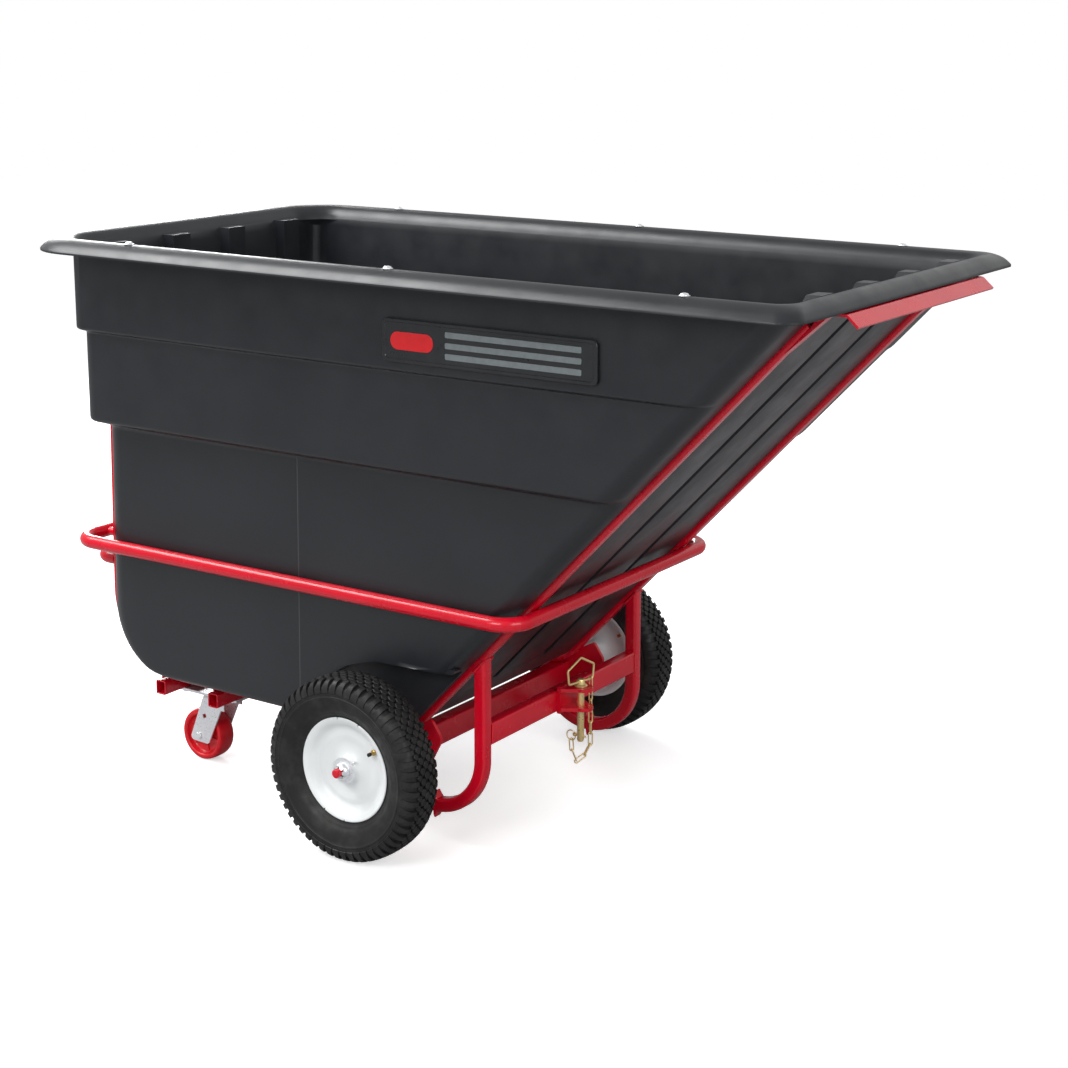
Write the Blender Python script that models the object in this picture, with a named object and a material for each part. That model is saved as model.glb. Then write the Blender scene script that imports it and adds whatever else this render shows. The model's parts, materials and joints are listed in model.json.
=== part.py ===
"""Tilt truck: a moulded hopper on a welded tube cradle, two pneumatic wheels on a through
axle, two swivel casters at the back and a towing clevis with a chained pin at the front.

Frame: +X towards the sloping tipping end, +Y to the cart's left, +Z up, metres.
Everything is laid out from the wheel axle and hangs from one empty, which puts the
origin on the ground in the middle of the cart's length and width.
"""
import math

import bmesh
import bpy
from mathutils import Matrix, Vector

# ---------------------------------------------------------------- driving dimensions
GAP = 0.0003            # clearance between touching pieces
WHEEL_R = 0.2032        # 16 inch pneumatic tyre
AXLE_Z = WHEEL_R
AXLE_R = 0.0095

RIM_REAR = -0.9695      # outermost edge of the rolled rim, measured from the axle
RIM_HALF = 0.5377
RIM_BOW = 0.009         # how far the long sides bow out at mid length
RIM_LOW = 1.2596        # lower outer edge of the rim
RIM_RISE = 0.0304       # from that edge up to the ridge
RIM_RIDGE = 0.050       # ridge, inwards from the edge
RIM_CORNER = 0.165      # rear corners of the rim, in plan
RIM_CORNER_FRONT = 0.042
WALL = 0.008            # moulded wall
BODY_CORNER = 0.050
LOW_CORNER = 0.060      # rear corners of the lower body

BAND1_IN = 0.087        # top band, inwards from the rim edge
BAND2_IN = 0.106        # second band
SIDE_IN = 0.146         # lower body at the sides
BACK_IN = 0.1315        # lower body at the back
STEP1_Z = RIM_LOW - 0.1896
STEP2_Z = RIM_LOW - 0.4096
BEAM_WALL = 0.004
RAIL_D = 0.025          # depth of the cradle rails, away from the hopper
FLOOR_Z = AXLE_Z + AXLE_R + 0.0007 + BEAM_WALL + RAIL_D + 2 * GAP   # underside of the hopper
BACK_BEND = 0.165       # big radius between back and underside
SIDE_BEND = 0.020
NOSE_BEND = 0.060       # radius between underside and slope
SLOPE = math.radians(46.25)
LIP_ROOM = 0.0552       # rim edge to slope face, at the height of the rim
SLOPE_X0 = -0.2016      # slope face: x = SLOPE_X0 + z / tan(SLOPE)
RIM_FRONT = SLOPE_X0 + RIM_LOW / math.tan(SLOPE) + LIP_ROOM
SIDE_Y = RIM_HALF - SIDE_IN   # outer face of the lower body
BACK_X = RIM_REAR + BACK_IN
WHEEL_Y = SIDE_Y + 0.1003     # tyre centre plane from the middle
AXLE_HALF = WHEEL_Y + 0.060

RAIL_Y = SIDE_Y - 0.0807   # cradle rails, centre plane
RAIL_W = 0.032          # across
RAIL_PROUD = 0.010      # stands this far out of the slope
RAIL_BACK = BACK_X - 0.0160 - RAIL_D / 2   # centre line behind the hopper
RIB_Y = 0.100           # the two empty channels
CHANNEL_IN = BACK_X - 0.0140   # floor of the channels in the two bands at the back
CHANNEL_DEEP = RAIL_D - RAIL_PROUD + 0.001   # channels in the slope

RING_R = 0.016
RING_Y = SIDE_Y + RING_R + 0.0028
RING_Z = 0.5510
RING_BACK = RAIL_BACK - 0.0485
RING_CORNER = 0.060
HANDLE_Z = 0.486
HANDLE_BACK = RAIL_BACK - 0.0745

BEAM_D = 0.040
BEAM_H = 0.0544
BEAM_HALF = WHEEL_Y - 0.0358
GUARD_T = 0.030
GUARD_X = SLOPE_X0 + 0.4161
GUARD_BEND = (GUARD_X + 0.0335) / 2   # brings the rear leg under the axle beam
GUARD_LOW = 0.080
BAR_TOP = FLOOR_Z + 0.0434
BAR_H = 0.0499

CASTER_X = BACK_X + 0.218     # swivel axis
CASTER_Y = RAIL_Y - 0.083
CASTER_R = 0.0635
CASTER_TRAIL = 0.048
CASTER_W = 0.050
PLATE_T = 0.006

PIN_X = GUARD_X + GUARD_T / 2 + 0.0365   # hitch pin axis
PIN_R = 0.008
EAR_T = 0.008
EAR_TOP = BAR_TOP + 0.0076
EAR_LOW = EAR_TOP - 0.045   # upper face of the lower ear
PIN_TURN = math.radians(12)
LINK_LEN = 0.0336       # between the centres of a link's two end bends, plus two bends
LINK_HALF_W = 0.0046
LINK_WIRE = 0.0016
LINKS = 10

LIP_HALF = RAIL_Y + RAIL_W / 2 + 0.005
LIP_FRONT = RIM_FRONT + 0.0271

# ---------------------------------------------------------------- start clean
for thing in list(bpy.data.objects):
    bpy.data.objects.remove(thing, do_unlink=True)
for block in (bpy.data.meshes, bpy.data.materials, bpy.data.curves):
    for item in list(block):
        block.remove(item)

SCENE = bpy.context.scene
FRONT_END = LIP_FRONT + 0.0018
AXLE_X = -(RIM_REAR + FRONT_END) / 2


def empty(name, location=(0, 0, 0), parent=None):
    thing = bpy.data.objects.new(name, None)
    SCENE.collection.objects.link(thing)
    thing.location = location
    thing.parent = parent
    return thing


CART = empty("cart_origin", (AXLE_X, 0, 0))


def material(name, colour, rough, metal=0.0):
    mat = bpy.data.materials.new(name)
    mat.use_nodes = True
    shader = mat.node_tree.nodes["Principled BSDF"]
    shader.inputs["Base Color"].default_value = (*colour, 1)
    shader.inputs["Roughness"].default_value = rough
    shader.inputs["Metallic"].default_value = metal
    mat.diffuse_color = (*colour, 1)
    return mat


PLASTIC = material("black_plastic", (0.018, 0.020, 0.024), 0.42)
BADGE = material("badge_plastic", (0.10, 0.10, 0.105), 0.45)
RED = material("red_powder_coat", (0.60, 0.004, 0.014), 0.28)
RED_WHEEL = material("red_polyolefin", (0.56, 0.006, 0.010), 0.35)
TYRE = material("tyre_rubber", (0.022, 0.022, 0.023), 0.75)
WHITE = material("white_wheel_paint", (0.74, 0.75, 0.76), 0.35)
ZINC = material("bright_zinc", (0.62, 0.64, 0.66), 0.30, 1.0)
YELLOW_ZINC = material("yellow_zinc", (0.66, 0.52, 0.26), 0.30, 1.0)
BRASS = material("brass", (0.60, 0.42, 0.16), 0.30, 1.0)
STEEL = material("bearing_steel", (0.50, 0.50, 0.51), 0.25, 1.0)


# ---------------------------------------------------------------- shape helpers
def finish(name, bm, mat, location=(0, 0, 0), parent=CART, sharp=32, turn=None):
    """Turn a bmesh into an object with outward normals."""
    bmesh.ops.recalc_face_normals(bm, faces=bm.faces)
    mesh = bpy.data.meshes.new(name)
    bm.to_mesh(mesh)
    bm.free()
    mesh.shade_smooth()
    mesh.set_sharp_from_angle(angle=math.radians(sharp))
    thing = bpy.data.objects.new(name, mesh)
    SCENE.collection.objects.link(thing)
    thing.location = location
    if turn:
        thing.rotation_euler = turn
    thing.parent = parent
    if mat:
        mesh.materials.append(mat)
    return thing


def helper(thing):
    thing.hide_render = True
    thing.display_type = "WIRE"
    return thing


def combine(target, tool, operation):
    helper(tool)
    mod = target.modifiers.new(operation.lower(), "BOOLEAN")
    mod.operation = operation
    mod.solver = "EXACT"
    mod.object = tool
    return mod


def loft(rings, closed=False):
    """Skin a list of rings of points; the ends are capped unless the loft closes on itself."""
    bm = bmesh.new()
    rows = [[bm.verts.new(p) for p in ring] for ring in rings]
    count = len(rows[0])
    last = len(rows) if closed else len(rows) - 1
    for i in range(last):
        a = rows[i]
        b = rows[(i + 1) % len(rows)]
        for j in range(count):
            k = (j + 1) % count
            bm.faces.new((a[j], a[k], b[k], b[j]))
    if not closed:
        bm.faces.new(rows[0][::-1])
        bm.faces.new(rows[-1])
    return bm


def lathe(profile, steps, axis="Y"):
    """Turn a closed profile of (radius, along) points round an axis."""
    rings = []
    for i in range(steps):
        a = 2 * math.pi * i / steps
        if axis == "Y":
            rings.append([(r * math.cos(a), y, r * math.sin(a)) for r, y in profile])
        elif axis == "X":
            rings.append([(y, r * math.cos(a), r * math.sin(a)) for r, y in profile])
        else:
            rings.append([(r * math.cos(a), r * math.sin(a), y) for r, y in profile])
    return loft(rings, closed=True)


def turned(profile, steps, axis="Z"):
    """Turn an open profile of (radius, along) points; its two ends are capped flat."""
    rings = []
    for r, y in profile:
        ring = []
        for i in range(steps):
            a = 2 * math.pi * i / steps
            c, s = r * math.cos(a), r * math.sin(a)
            ring.append({"X": (y, c, s), "Y": (c, y, s), "Z": (c, s, y)}[axis])
        rings.append(ring)
    return loft(rings)


def box(x0, x1, y0, y1, z0, z1):
    base = [(x0, y0), (x1, y0), (x1, y1), (x0, y1)]
    return loft([[(x, y, z0) for x, y in base], [(x, y, z1) for x, y in base]])


def prism_y(outline, y0, y1):
    return loft([[(x, y0, z) for x, z in outline], [(x, y1, z) for x, z in outline]])


def rounded(points, radii, steps=6, closed=False):
    """A polyline in 2-D or 3-D whose corners are replaced with arcs."""
    pts = [Vector(p) for p in points]
    out = []
    n = len(pts)
    for i in range(n):
        r = radii[i] if isinstance(radii, (list, tuple)) else radii
        if r <= 0 or (not closed and i in (0, n - 1)):
            out.append(pts[i])
            continue
        a = (pts[i - 1] - pts[i]).normalized()
        b = (pts[(i + 1) % n] - pts[i]).normalized()
        half = a.angle(b) / 2
        mid = (a + b).normalized()
        centre = pts[i] + mid * (r / math.sin(half))
        start = pts[i] + a * (r / math.tan(half)) - centre
        end = pts[i] + b * (r / math.tan(half)) - centre
        sweep_angle = math.pi - 2 * half
        for k in range(steps + 1):
            t = k / steps
            u = start * math.sin((1 - t) * sweep_angle) + end * math.sin(t * sweep_angle)
            out.append(centre + u / math.sin(sweep_angle))
    return out


def sweep(path, section, side, closed=False):
    """Carry a flat section along a planar path. side is the normal of the path's plane;
    a section point (u, v) lies u along the in-plane normal and v along side."""
    side = Vector(side).normalized()
    path = [Vector(p) for p in path]
    n = len(path)
    rings = []
    for i, p in enumerate(path):
        before = path[i] - path[i - 1] if (closed or i > 0) else None
        after = path[(i + 1) % n] - path[i] if (closed or i < n - 1) else None
        if before is None:
            tangent = after.normalized()
            stretch = 1.0
        elif after is None:
            tangent = before.normalized()
            stretch = 1.0
        else:
            tangent = (before.normalized() + after.normalized()).normalized()
            stretch = 1.0 / max(0.5, tangent.dot(after.normalized()))
        normal = side.cross(tangent).normalized()
        rings.append([p + normal * (u * stretch) + side * v for u, v in section])
    return loft(rings, closed=closed)


def circle(r, steps, start=0.0):
    return [(r * math.cos(start + 2 * math.pi * i / steps),
             r * math.sin(start + 2 * math.pi * i / steps)) for i in range(steps)]


def rect(u, v, r, steps=2):
    """A rectangle u by v about the middle with rounded corners."""
    corners = [(-u / 2, -v / 2), (u / 2, -v / 2), (u / 2, v / 2), (-u / 2, v / 2)]
    return [tuple(p)[:2] for p in rounded([(a, b, 0) for a, b in corners], r, steps, True)]


def both(build):
    """Make a piece on the right (-Y) and on the left (+Y)."""
    return [build("right", -1), build("left", 1)]


# ---------------------------------------------------------------- hopper
TAN = math.tan(SLOPE)
SLOPE_OUT = Vector((math.sin(SLOPE), 0, -math.cos(SLOPE)))
SLOPE_UP = Vector((math.cos(SLOPE), 0, math.sin(SLOPE)))


def slope_x(z, depth=0.0):
    """x of the slope face at height z, depth measured square to the face, inwards."""
    return SLOPE_X0 + z / TAN - depth / math.sin(SLOPE)


def slope_point(z, y, out):
    """A point over the slope face at height z, out metres off it."""
    return Vector((slope_x(z), y, z)) + SLOPE_OUT * out


NOSE_X = slope_x(FLOOR_Z)
NOSE_CX = NOSE_X - NOSE_BEND * math.tan(SLOPE / 2)
RIM_MID = (RIM_REAR + RIM_FRONT) / 2
RIM_REACH = (RIM_FRONT - RIM_REAR) / 2


def outline(x_back, x_front, half, z, r, bow, front_r=None):
    """A level ring round the hopper, its long sides bowed."""
    pts = []
    f = r if front_r is None else front_r
    for cx, cy, a0, turn in ((x_front - f, half - f, 0, f), (x_back + r, half - r, 90, r),
                             (x_back + r, -half + r, 180, r), (x_front - f, -half + f, 270, f)):
        for k in range(4):
            a = math.radians(a0 + 30 * k)
            pts.append((cx + turn * math.cos(a), cy + turn * math.sin(a)))
        if a0 in (0, 180):
            sign = 1 if a0 == 0 else -1
            start, stop = pts[-1][0], (x_back + r if a0 == 0 else x_front - f)
            for k in range(1, 4):
                x = start + (stop - start) * k / 4
                pts.append((x, sign * half))
    out = []
    for x, y in pts:
        reach = 1 - ((x - RIM_MID) / RIM_REACH) ** 2
        fade = min(1.0, abs(y) / half) ** 8
        out.append((x, y + math.copysign(bow * max(0.0, reach) * fade, y), z))
    return out


def body_ring(z, depth=0.0):
    """A ring of the lower body; depth is how far it lies inside the outer face."""
    bottom = FLOOR_Z + depth
    half = RIM_HALF - SIDE_IN - depth
    back = RIM_REAR + BACK_IN + depth
    bend = BACK_BEND - depth
    side = SIDE_BEND
    rise = bottom + bend - z
    if rise > 0:
        back = back + bend - math.sqrt(max(0.0, bend ** 2 - rise ** 2))
    rise = bottom + side - z
    if rise > 0:
        half = half - side + math.sqrt(max(0.0, side ** 2 - rise ** 2))
    front = slope_x(z, depth)
    nose = NOSE_BEND - depth
    rise = FLOOR_Z + NOSE_BEND - z
    if rise > nose * math.cos(SLOPE):
        front = NOSE_CX + math.sqrt(max(0.0, nose ** 2 - rise ** 2))
    return outline(back, front, half, z, LOW_CORNER - depth, 0.0, BODY_CORNER - depth)


def band_ring(z, side_in, depth=0.0):
    half = RIM_HALF - side_in - depth
    back = RIM_REAR + side_in + depth
    return outline(back, slope_x(z, depth), half, z, BODY_CORNER - depth, RIM_BOW)


def rim_ring(inwards, z):
    """A ring of the rolled rim; the overhang is shorter over the slope."""
    over = (RIM_FRONT - slope_x(RIM_LOW - 0.005)) / BAND1_IN
    r = max(BODY_CORNER - WALL, RIM_CORNER - inwards * 0.9)
    return outline(RIM_REAR + inwards, RIM_FRONT - inwards * over, RIM_HALF - inwards, z, r, RIM_BOW,
                   RIM_CORNER_FRONT)


def levels(depth):
    """Heights of the lower body's rings, closer together in the bends."""
    bottom = FLOOR_Z + depth
    out = [bottom, bottom + SIDE_BEND * (1 - math.cos(math.radians(30))),
           bottom + SIDE_BEND * (1 - math.cos(math.radians(60))), bottom + SIDE_BEND]
    bend = BACK_BEND - depth
    for a in (38, 54, 72, 90):
        out.append(bottom + bend * (1 - math.cos(math.radians(a))))
    return out


def build_hopper():
    rings = [body_ring(z, WALL) for z in levels(WALL)]
    rings.append(body_ring(STEP2_Z - 0.010 - WALL * 0.6, WALL))
    rings.append(band_ring(STEP2_Z + 0.003 - WALL * 0.2, BAND2_IN + 0.001, WALL))
    rings.append(band_ring(STEP1_Z - 0.004 - WALL * 0.3, BAND2_IN - 0.001, WALL))
    rings.append(band_ring(STEP1_Z + 0.002 - WALL * 0.1, BAND1_IN + 0.002, WALL))
    rings.append(band_ring(RIM_LOW - 0.020, BAND1_IN, WALL))
    top = RIM_LOW + RIM_RISE
    for inwards, z in ((0.0925, RIM_LOW - 0.004), (0.085, RIM_LOW + 0.012), (0.070, top - 0.0045),
                       (RIM_RIDGE, top), (0.034, top - 0.0025), (0.016, top - 0.0110),
                       (0.004, RIM_LOW + 0.009), (0.0, RIM_LOW + 0.006), (0.0, RIM_LOW),
                       (0.006, RIM_LOW), (0.012, RIM_LOW + 0.008), (0.030, RIM_LOW + 0.018),
                       (RIM_RIDGE, top - 0.009), (0.072, RIM_LOW + 0.011)):
        rings.append(rim_ring(inwards, z))
    rings.append(band_ring(RIM_LOW - 0.006, BAND1_IN))
    rings.append(band_ring(STEP1_Z + 0.002, BAND1_IN + 0.002))
    rings.append(band_ring(STEP1_Z - 0.004, BAND2_IN - 0.001))
    rings.append(band_ring(STEP2_Z + 0.003, BAND2_IN + 0.001))
    rings.append(body_ring(STEP2_Z - 0.010))
    rings += [body_ring(z) for z in reversed(levels(0.0))]
    return finish("hopper", loft(rings), PLASTIC, sharp=28)


hopper = build_hopper()

# thicken behind every pressed channel, then press the channel from outside
HALF_CH = RAIL_W / 2 + 0.006
CH_TOP = RIM_LOW - 0.006
channel_ys = (-RAIL_Y, -RIB_Y, RIB_Y, RAIL_Y)


def slope_bar(name, y, half, out0, out1, z0, z1, shift=0.0, taper=0.0):
    """A straight bar lying along the slope from height z0 to z1."""
    low = slope_point(z0, y, 0) + SLOPE_UP * shift
    high = slope_point(z1, y, 0)
    rings = []
    for p in (low, high):
        rings.append([p + SLOPE_OUT * o + Vector((0, h, 0)) for o, h in
                      ((out0, -half + taper), (out0, half - taper), (out1, half), (out1, -half))])
    return finish(name, loft(rings), None)


for i, y in enumerate(channel_ys):
    rib = box(RIM_REAR + BAND1_IN + 0.003, CHANNEL_IN + WALL, y - HALF_CH - WALL, y + HALF_CH + WALL,
              STEP2_Z - 0.0035, RIM_LOW + 0.004)
    combine(hopper, finish(f"back_rib_{i}", rib, None), "UNION")
    outer = abs(y) > 0.2
    half = HALF_CH if outer else 0.016
    deep = CHANNEL_DEEP
    shift = -0.0185 if outer else 0.030
    bar = slope_bar(f"slope_rib_{i}", y, half + WALL, -deep - WALL, -0.005, FLOOR_Z + 0.019, RIM_LOW - 0.012,
                    shift, 0.0 if outer else 0.004)
    combine(hopper, bar, "UNION")
# each channel's inner rib runs up over the inside of the front rim
RIM_TOP = RIM_LOW + RIM_RISE
HUMP = ((RIM_FRONT - 0.0450, RIM_TOP - 0.0065), (RIM_FRONT - 0.0475, RIM_TOP - 0.0010),
        (RIM_FRONT - 0.0800, RIM_TOP - 0.0020), (RIM_FRONT - 0.1080, RIM_LOW - 0.0280),
        (RIM_FRONT - 0.0845, RIM_LOW - 0.0250), (RIM_FRONT - 0.0540, RIM_LOW + 0.0140))
for i, y in enumerate(channel_ys):
    half = (HALF_CH if abs(y) > 0.2 else 0.016) + WALL + 0.0035
    wide, slim = [(x, y - half, z) for x, z in HUMP], [(x, y - half + 0.010, z) for x, z in HUMP]
    hump = loft([wide[:1] + slim[1:3] + wide[3:],
                 [(x, 2 * y - v, z) for x, v, z in wide[:1] + slim[1:3] + wide[3:]]])
    combine(hopper, finish(f"hump_{i}", hump, None), "UNION")
for i, side in enumerate((-1, 1)):
    y0, y1 = sorted((side * (RAIL_Y - HALF_CH - WALL), side * (RAIL_Y + HALF_CH + WALL)))
    pad = box(NOSE_X - 0.0671, NOSE_X - 0.0096, y0 + 0.0007, y1 - 0.0007, FLOOR_Z + 0.0045, FLOOR_Z + 0.0283)
    combine(hopper, finish(f"nose_pad_{i}", pad, None), "UNION")

WELL_X = WHEEL_R + 0.0318     # wheel well, round the tyre
WELL_Z = AXLE_Z + WHEEL_R
WELL = ((-WELL_X, AXLE_Z - 0.0432), (-WELL_X, AXLE_Z + 0.0948), (-0.092, WELL_Z - 0.0224),
        (-0.020, WELL_Z - 0.0014), (GUARD_X + 0.1155, WELL_Z + 0.0076), (GUARD_X + 0.1155, AXLE_Z - 0.0432))
for i, side in enumerate((-1, 1)):
    inner = ((-WELL_X - 0.008, FLOOR_Z + 0.0065), (-WELL_X - 0.008, AXLE_Z + 0.0998),
             (-0.095, WELL_Z - 0.0144), (-0.021, WELL_Z + 0.0066),
             (slope_x(WELL_Z + 0.0151, 0.004), WELL_Z + 0.0151), (slope_x(FLOOR_Z + 0.032, 0.004), FLOOR_Z + 0.032),
             (NOSE_X - 0.0011, FLOOR_Z + 0.0115), (NOSE_X - 0.0211, FLOOR_Z + 0.0065))
    y0, y1 = sorted((side * (SIDE_Y - 0.0477), side * (SIDE_Y - 0.0071)))
    combine(hopper, finish(f"well_back_{i}", prism_y(inner, y0, y1), None), "UNION")

for i, y in enumerate(channel_ys):
    slot = box(RIM_REAR - 0.02, CHANNEL_IN, y - HALF_CH, y + HALF_CH, STEP2_Z - 0.055, CH_TOP)
    combine(hopper, finish(f"back_channel_{i}", slot, None), "DIFFERENCE")
for i, side in enumerate((-1, 1)):
    y0, y1 = sorted((side * (SIDE_Y - 0.0397), side * (SIDE_Y + 0.0883)))
    combine(hopper, finish(f"well_{i}", prism_y(WELL, y0, y1), None), "DIFFERENCE")


# ---------------------------------------------------------------- cradle rails
RAIL_LOW = FLOOR_Z - GAP - RAIL_D / 2
RAIL_OUT = RAIL_PROUD - RAIL_D / 2
LIP_T = 0.005
LIP_Z = RIM_LOW - 0.0050
rail_top = slope_point(RIM_LOW - 0.0296, 0, RAIL_OUT)
rail_corner_x = slope_x(RAIL_LOW) + RAIL_OUT / math.sin(SLOPE)
RAIL_TURN = 0.190
NOSE_TURN = 0.100


def rail_path(y, back_top=RIM_LOW - 0.0196):
    pts = [(RAIL_BACK, y, back_top), (RAIL_BACK, y, RAIL_LOW), (rail_corner_x, y, RAIL_LOW),
           (rail_top.x, y, rail_top.z)]
    return rounded(pts, [0, RAIL_TURN, NOSE_TURN, 0], 8)


for i, side in enumerate((-1, 1)):
    y = side * RAIL_Y
    start = Vector((NOSE_X - 0.0911, y, RAIL_LOW))
    path = [start] + rounded([start, (rail_corner_x, y, RAIL_LOW),
                              slope_point(RIM_LOW - 0.0256, y, RAIL_OUT)], [0, NOSE_TURN, 0], 8)[1:]
    inner = CHANNEL_DEEP + RAIL_OUT
    section = [(-0.045, -HALF_CH), (inner, -HALF_CH), (inner, HALF_CH), (-0.045, HALF_CH)]
    tool = sweep(path, section, (0, -1, 0))
    combine(hopper, finish(f"rail_channel_{i}", tool, None), "DIFFERENCE")
for i, y in enumerate((-RIB_Y, RIB_Y)):
    bar = slope_bar(f"rib_channel_{i}", y, 0.016, -CHANNEL_DEEP, 0.03, FLOOR_Z + 0.067, RIM_LOW - 0.0256, 0.0, 0.006)
    combine(hopper, bar, "DIFFERENCE")


def build_rail(name, side):
    section = rect(RAIL_D, RAIL_W, 0.004, 1)
    bm = sweep(rail_path(side * RAIL_Y), section, (0, -1, 0))
    return finish(f"cradle_rail_{name}", bm, RED)


rails = both(build_rail)

# ---------------------------------------------------------------- bumper ring and rear handle
ring_x = slope_x(RING_Z) + (RAIL_PROUD + RING_R + 2 * GAP) / math.sin(SLOPE)
corners = [(ring_x, -RING_Y, RING_Z), (ring_x, RING_Y, RING_Z),
           (RING_BACK, RING_Y, RING_Z), (RING_BACK, -RING_Y, RING_Z)]
bumper = finish("bumper_ring", sweep(rounded(corners, RING_CORNER, 5, True), circle(RING_R, 10),
                                     (0, 0, 1), closed=True), RED)
back_face = RAIL_BACK - RAIL_D / 2 - GAP
for i, side in enumerate((-1, 1)):
    stub = turned([(0.010, RING_BACK + 0.002), (0.010, back_face)], 12, "X")
    combine(bumper, finish(f"standoff_{i}", stub, None, (0, side * RAIL_Y, RING_Z)), "UNION")

pts = [(back_face, -RAIL_Y, HANDLE_Z), (HANDLE_BACK, -RAIL_Y, HANDLE_Z),
       (HANDLE_BACK, RAIL_Y, HANDLE_Z), (back_face, RAIL_Y, HANDLE_Z)]
finish("rear_handle_bar", sweep(rounded(pts, 0.040, 6), circle(RING_R, 10), (0, 0, 1)), RED)

# ---------------------------------------------------------------- axle beam, guards and front bar
BEAM_TOP = RAIL_LOW - RAIL_D / 2 - GAP
BEAM_Z = BEAM_TOP - BEAM_H / 2


def tube_y(name, cx, cz, w, h, wall, half, mat, r=0.004):
    """A rectangular tube lying along Y, open at both ends."""
    outer = rect(w, h, r, 2)
    inner = rect(w - 2 * wall, h - 2 * wall, max(r - wall, 0.0015), 2)
    rings = [[(cx + u, -half, cz + v) for u, v in outer], [(cx + u, half, cz + v) for u, v in outer],
             [(cx + u, half, cz + v) for u, v in inner], [(cx + u, -half, cz + v) for u, v in inner]]
    return finish(name, loft(rings, closed=True), mat)


tube_y("axle_beam", 0, BEAM_Z, BEAM_D, BEAM_H, BEAM_WALL, BEAM_HALF, RED, 0.005)
tube_y("front_bar", GUARD_X, BAR_TOP - BAR_H / 2, GUARD_T, BAR_H, 0.003,
       RAIL_Y - GUARD_T / 2 - GAP, RED)


def build_guard(name, side):
    """A bent leg from the rail down, round behind the front bar and up to the axle beam."""
    y = side * RAIL_Y
    rail_under = RAIL_PROUD + 0.0005
    top_z = (GUARD_X - SLOPE_X0) * TAN + 0.03
    low = GUARD_LOW + GUARD_T / 2
    pts = [(GUARD_X, y, top_z), (GUARD_X, y, low), (GUARD_X - 2 * GUARD_BEND, y, low),
           (GUARD_X - 2 * GUARD_BEND, y, low + GUARD_BEND + 0.02)]
    bm = sweep(rounded(pts, [0, GUARD_BEND, GUARD_BEND, 0], 8), rect(GUARD_T, GUARD_T, 0.006, 1),
               (0, 1, 0))
    guard = finish(f"front_guard_{name}", bm, RED)
    low_edge = slope_point(0.20, y, rail_under)
    high_edge = slope_point(0.70, y, rail_under)
    trim = loft([[(low_edge.x, y - 0.05, low_edge.z), (high_edge.x, y - 0.05, high_edge.z),
                  (low_edge.x - 0.1, y - 0.05, high_edge.z + 0.1)],
                 [(low_edge.x, y + 0.05, low_edge.z), (high_edge.x, y + 0.05, high_edge.z),
                  (low_edge.x - 0.1, y + 0.05, high_edge.z + 0.1)]])
    combine(guard, finish(f"guard_trim_{name}", trim, None), "DIFFERENCE")
    trim = box(-0.12, 0.05, y - 0.05, y + 0.05, BEAM_Z - BEAM_H / 2 - GAP, FLOOR_Z + 0.057)
    combine(guard, finish(f"guard_foot_{name}", trim, None), "DIFFERENCE")
    return guard


both(build_guard)


def build_hanger(name, side):
    """A plate beside the rail, round the axle beam."""
    y0, y1 = sorted((side * (RAIL_Y + RAIL_W / 2 + GAP), side * (RAIL_Y + RAIL_W / 2 + GAP + 0.008)))
    top = FLOOR_Z - 0.0015
    low = FLOOR_Z - 0.093
    pts = [(-0.060, 0, low), (NOSE_X + 0.0440, 0, low), (NOSE_X + 0.0910, 0, low + 0.088),
           (NOSE_X + 0.0610, 0, low + 0.130),
           (slope_x(top) - 0.004, 0, top), (-0.060, 0, top)]
    ring = rounded(pts, [0.015, 0.040, 0.020, 0.010, 0.030, 0.010], 4, True)
    plate = finish(f"axle_hanger_{name}", prism_y([(p.x, p.z) for p in ring], y0, y1), RED)
    hole = box(-BEAM_D / 2 - GAP, BEAM_D / 2 + GAP, min(y0, y1) - 0.01, max(y0, y1) + 0.01,
               BEAM_Z - BEAM_H / 2 - GAP, BEAM_Z + BEAM_H / 2 + GAP)
    combine(plate, finish(f"hanger_hole_{name}", hole, None), "DIFFERENCE")
    return plate


both(build_hanger)

# folded lip plate under the rim, over the two rail ends
lip = [(slope_x(LIP_Z) + 0.004, 0, LIP_Z), (LIP_FRONT - 0.0235, 0, LIP_Z), (LIP_FRONT, 0, LIP_Z - 0.0215)]
section = [(-LIP_T / 2, -LIP_HALF), (LIP_T / 2, -LIP_HALF), (LIP_T / 2, LIP_HALF), (-LIP_T / 2, LIP_HALF)]
lip_plate = finish("rim_lip_plate", sweep(rounded(lip, [0, 0.006, 0], 3), section, (0, 1, 0)), RED)
for i, side in enumerate((-1, 1)):
    # a gusset from the plate down onto the face of each rail
    face = [slope_point(RIM_LOW - v, 0, RAIL_PROUD + GAP) for v in (0.085, 0.028)]
    pts = [(slope_x(LIP_Z) + 0.0055, LIP_Z), (LIP_FRONT - 0.058, LIP_Z)] + [(p.x, p.z) for p in face]
    y0, y1 = sorted((side * (RAIL_Y - 0.013), side * (RAIL_Y + 0.013)))
    combine(lip_plate, finish(f"lip_gusset_{i}", prism_y(pts, y0, y1), None), "UNION")


# ---------------------------------------------------------------- caster carriers
CARRY_H = 0.0345
carry_top = RAIL_LOW - RAIL_D / 2 - GAP
for name, x in (("rear", CASTER_X - 0.0905), ("front", CASTER_X + 0.0775)):
    tube_y(f"caster_crossmember_{name}", x, carry_top - CARRY_H / 2, 0.030, CARRY_H, 0.003, RAIL_Y + 0.034, RED)


# ---------------------------------------------------------------- casters
PLATE_TOP = carry_top - CARRY_H - GAP
PLATE_LOW = PLATE_TOP - PLATE_T
CROWN_TOP = PLATE_LOW - GAP - 0.007
LEG_T = 0.004
LEG_IN = CASTER_W / 2 + 0.004
KING_R = 0.006


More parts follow.
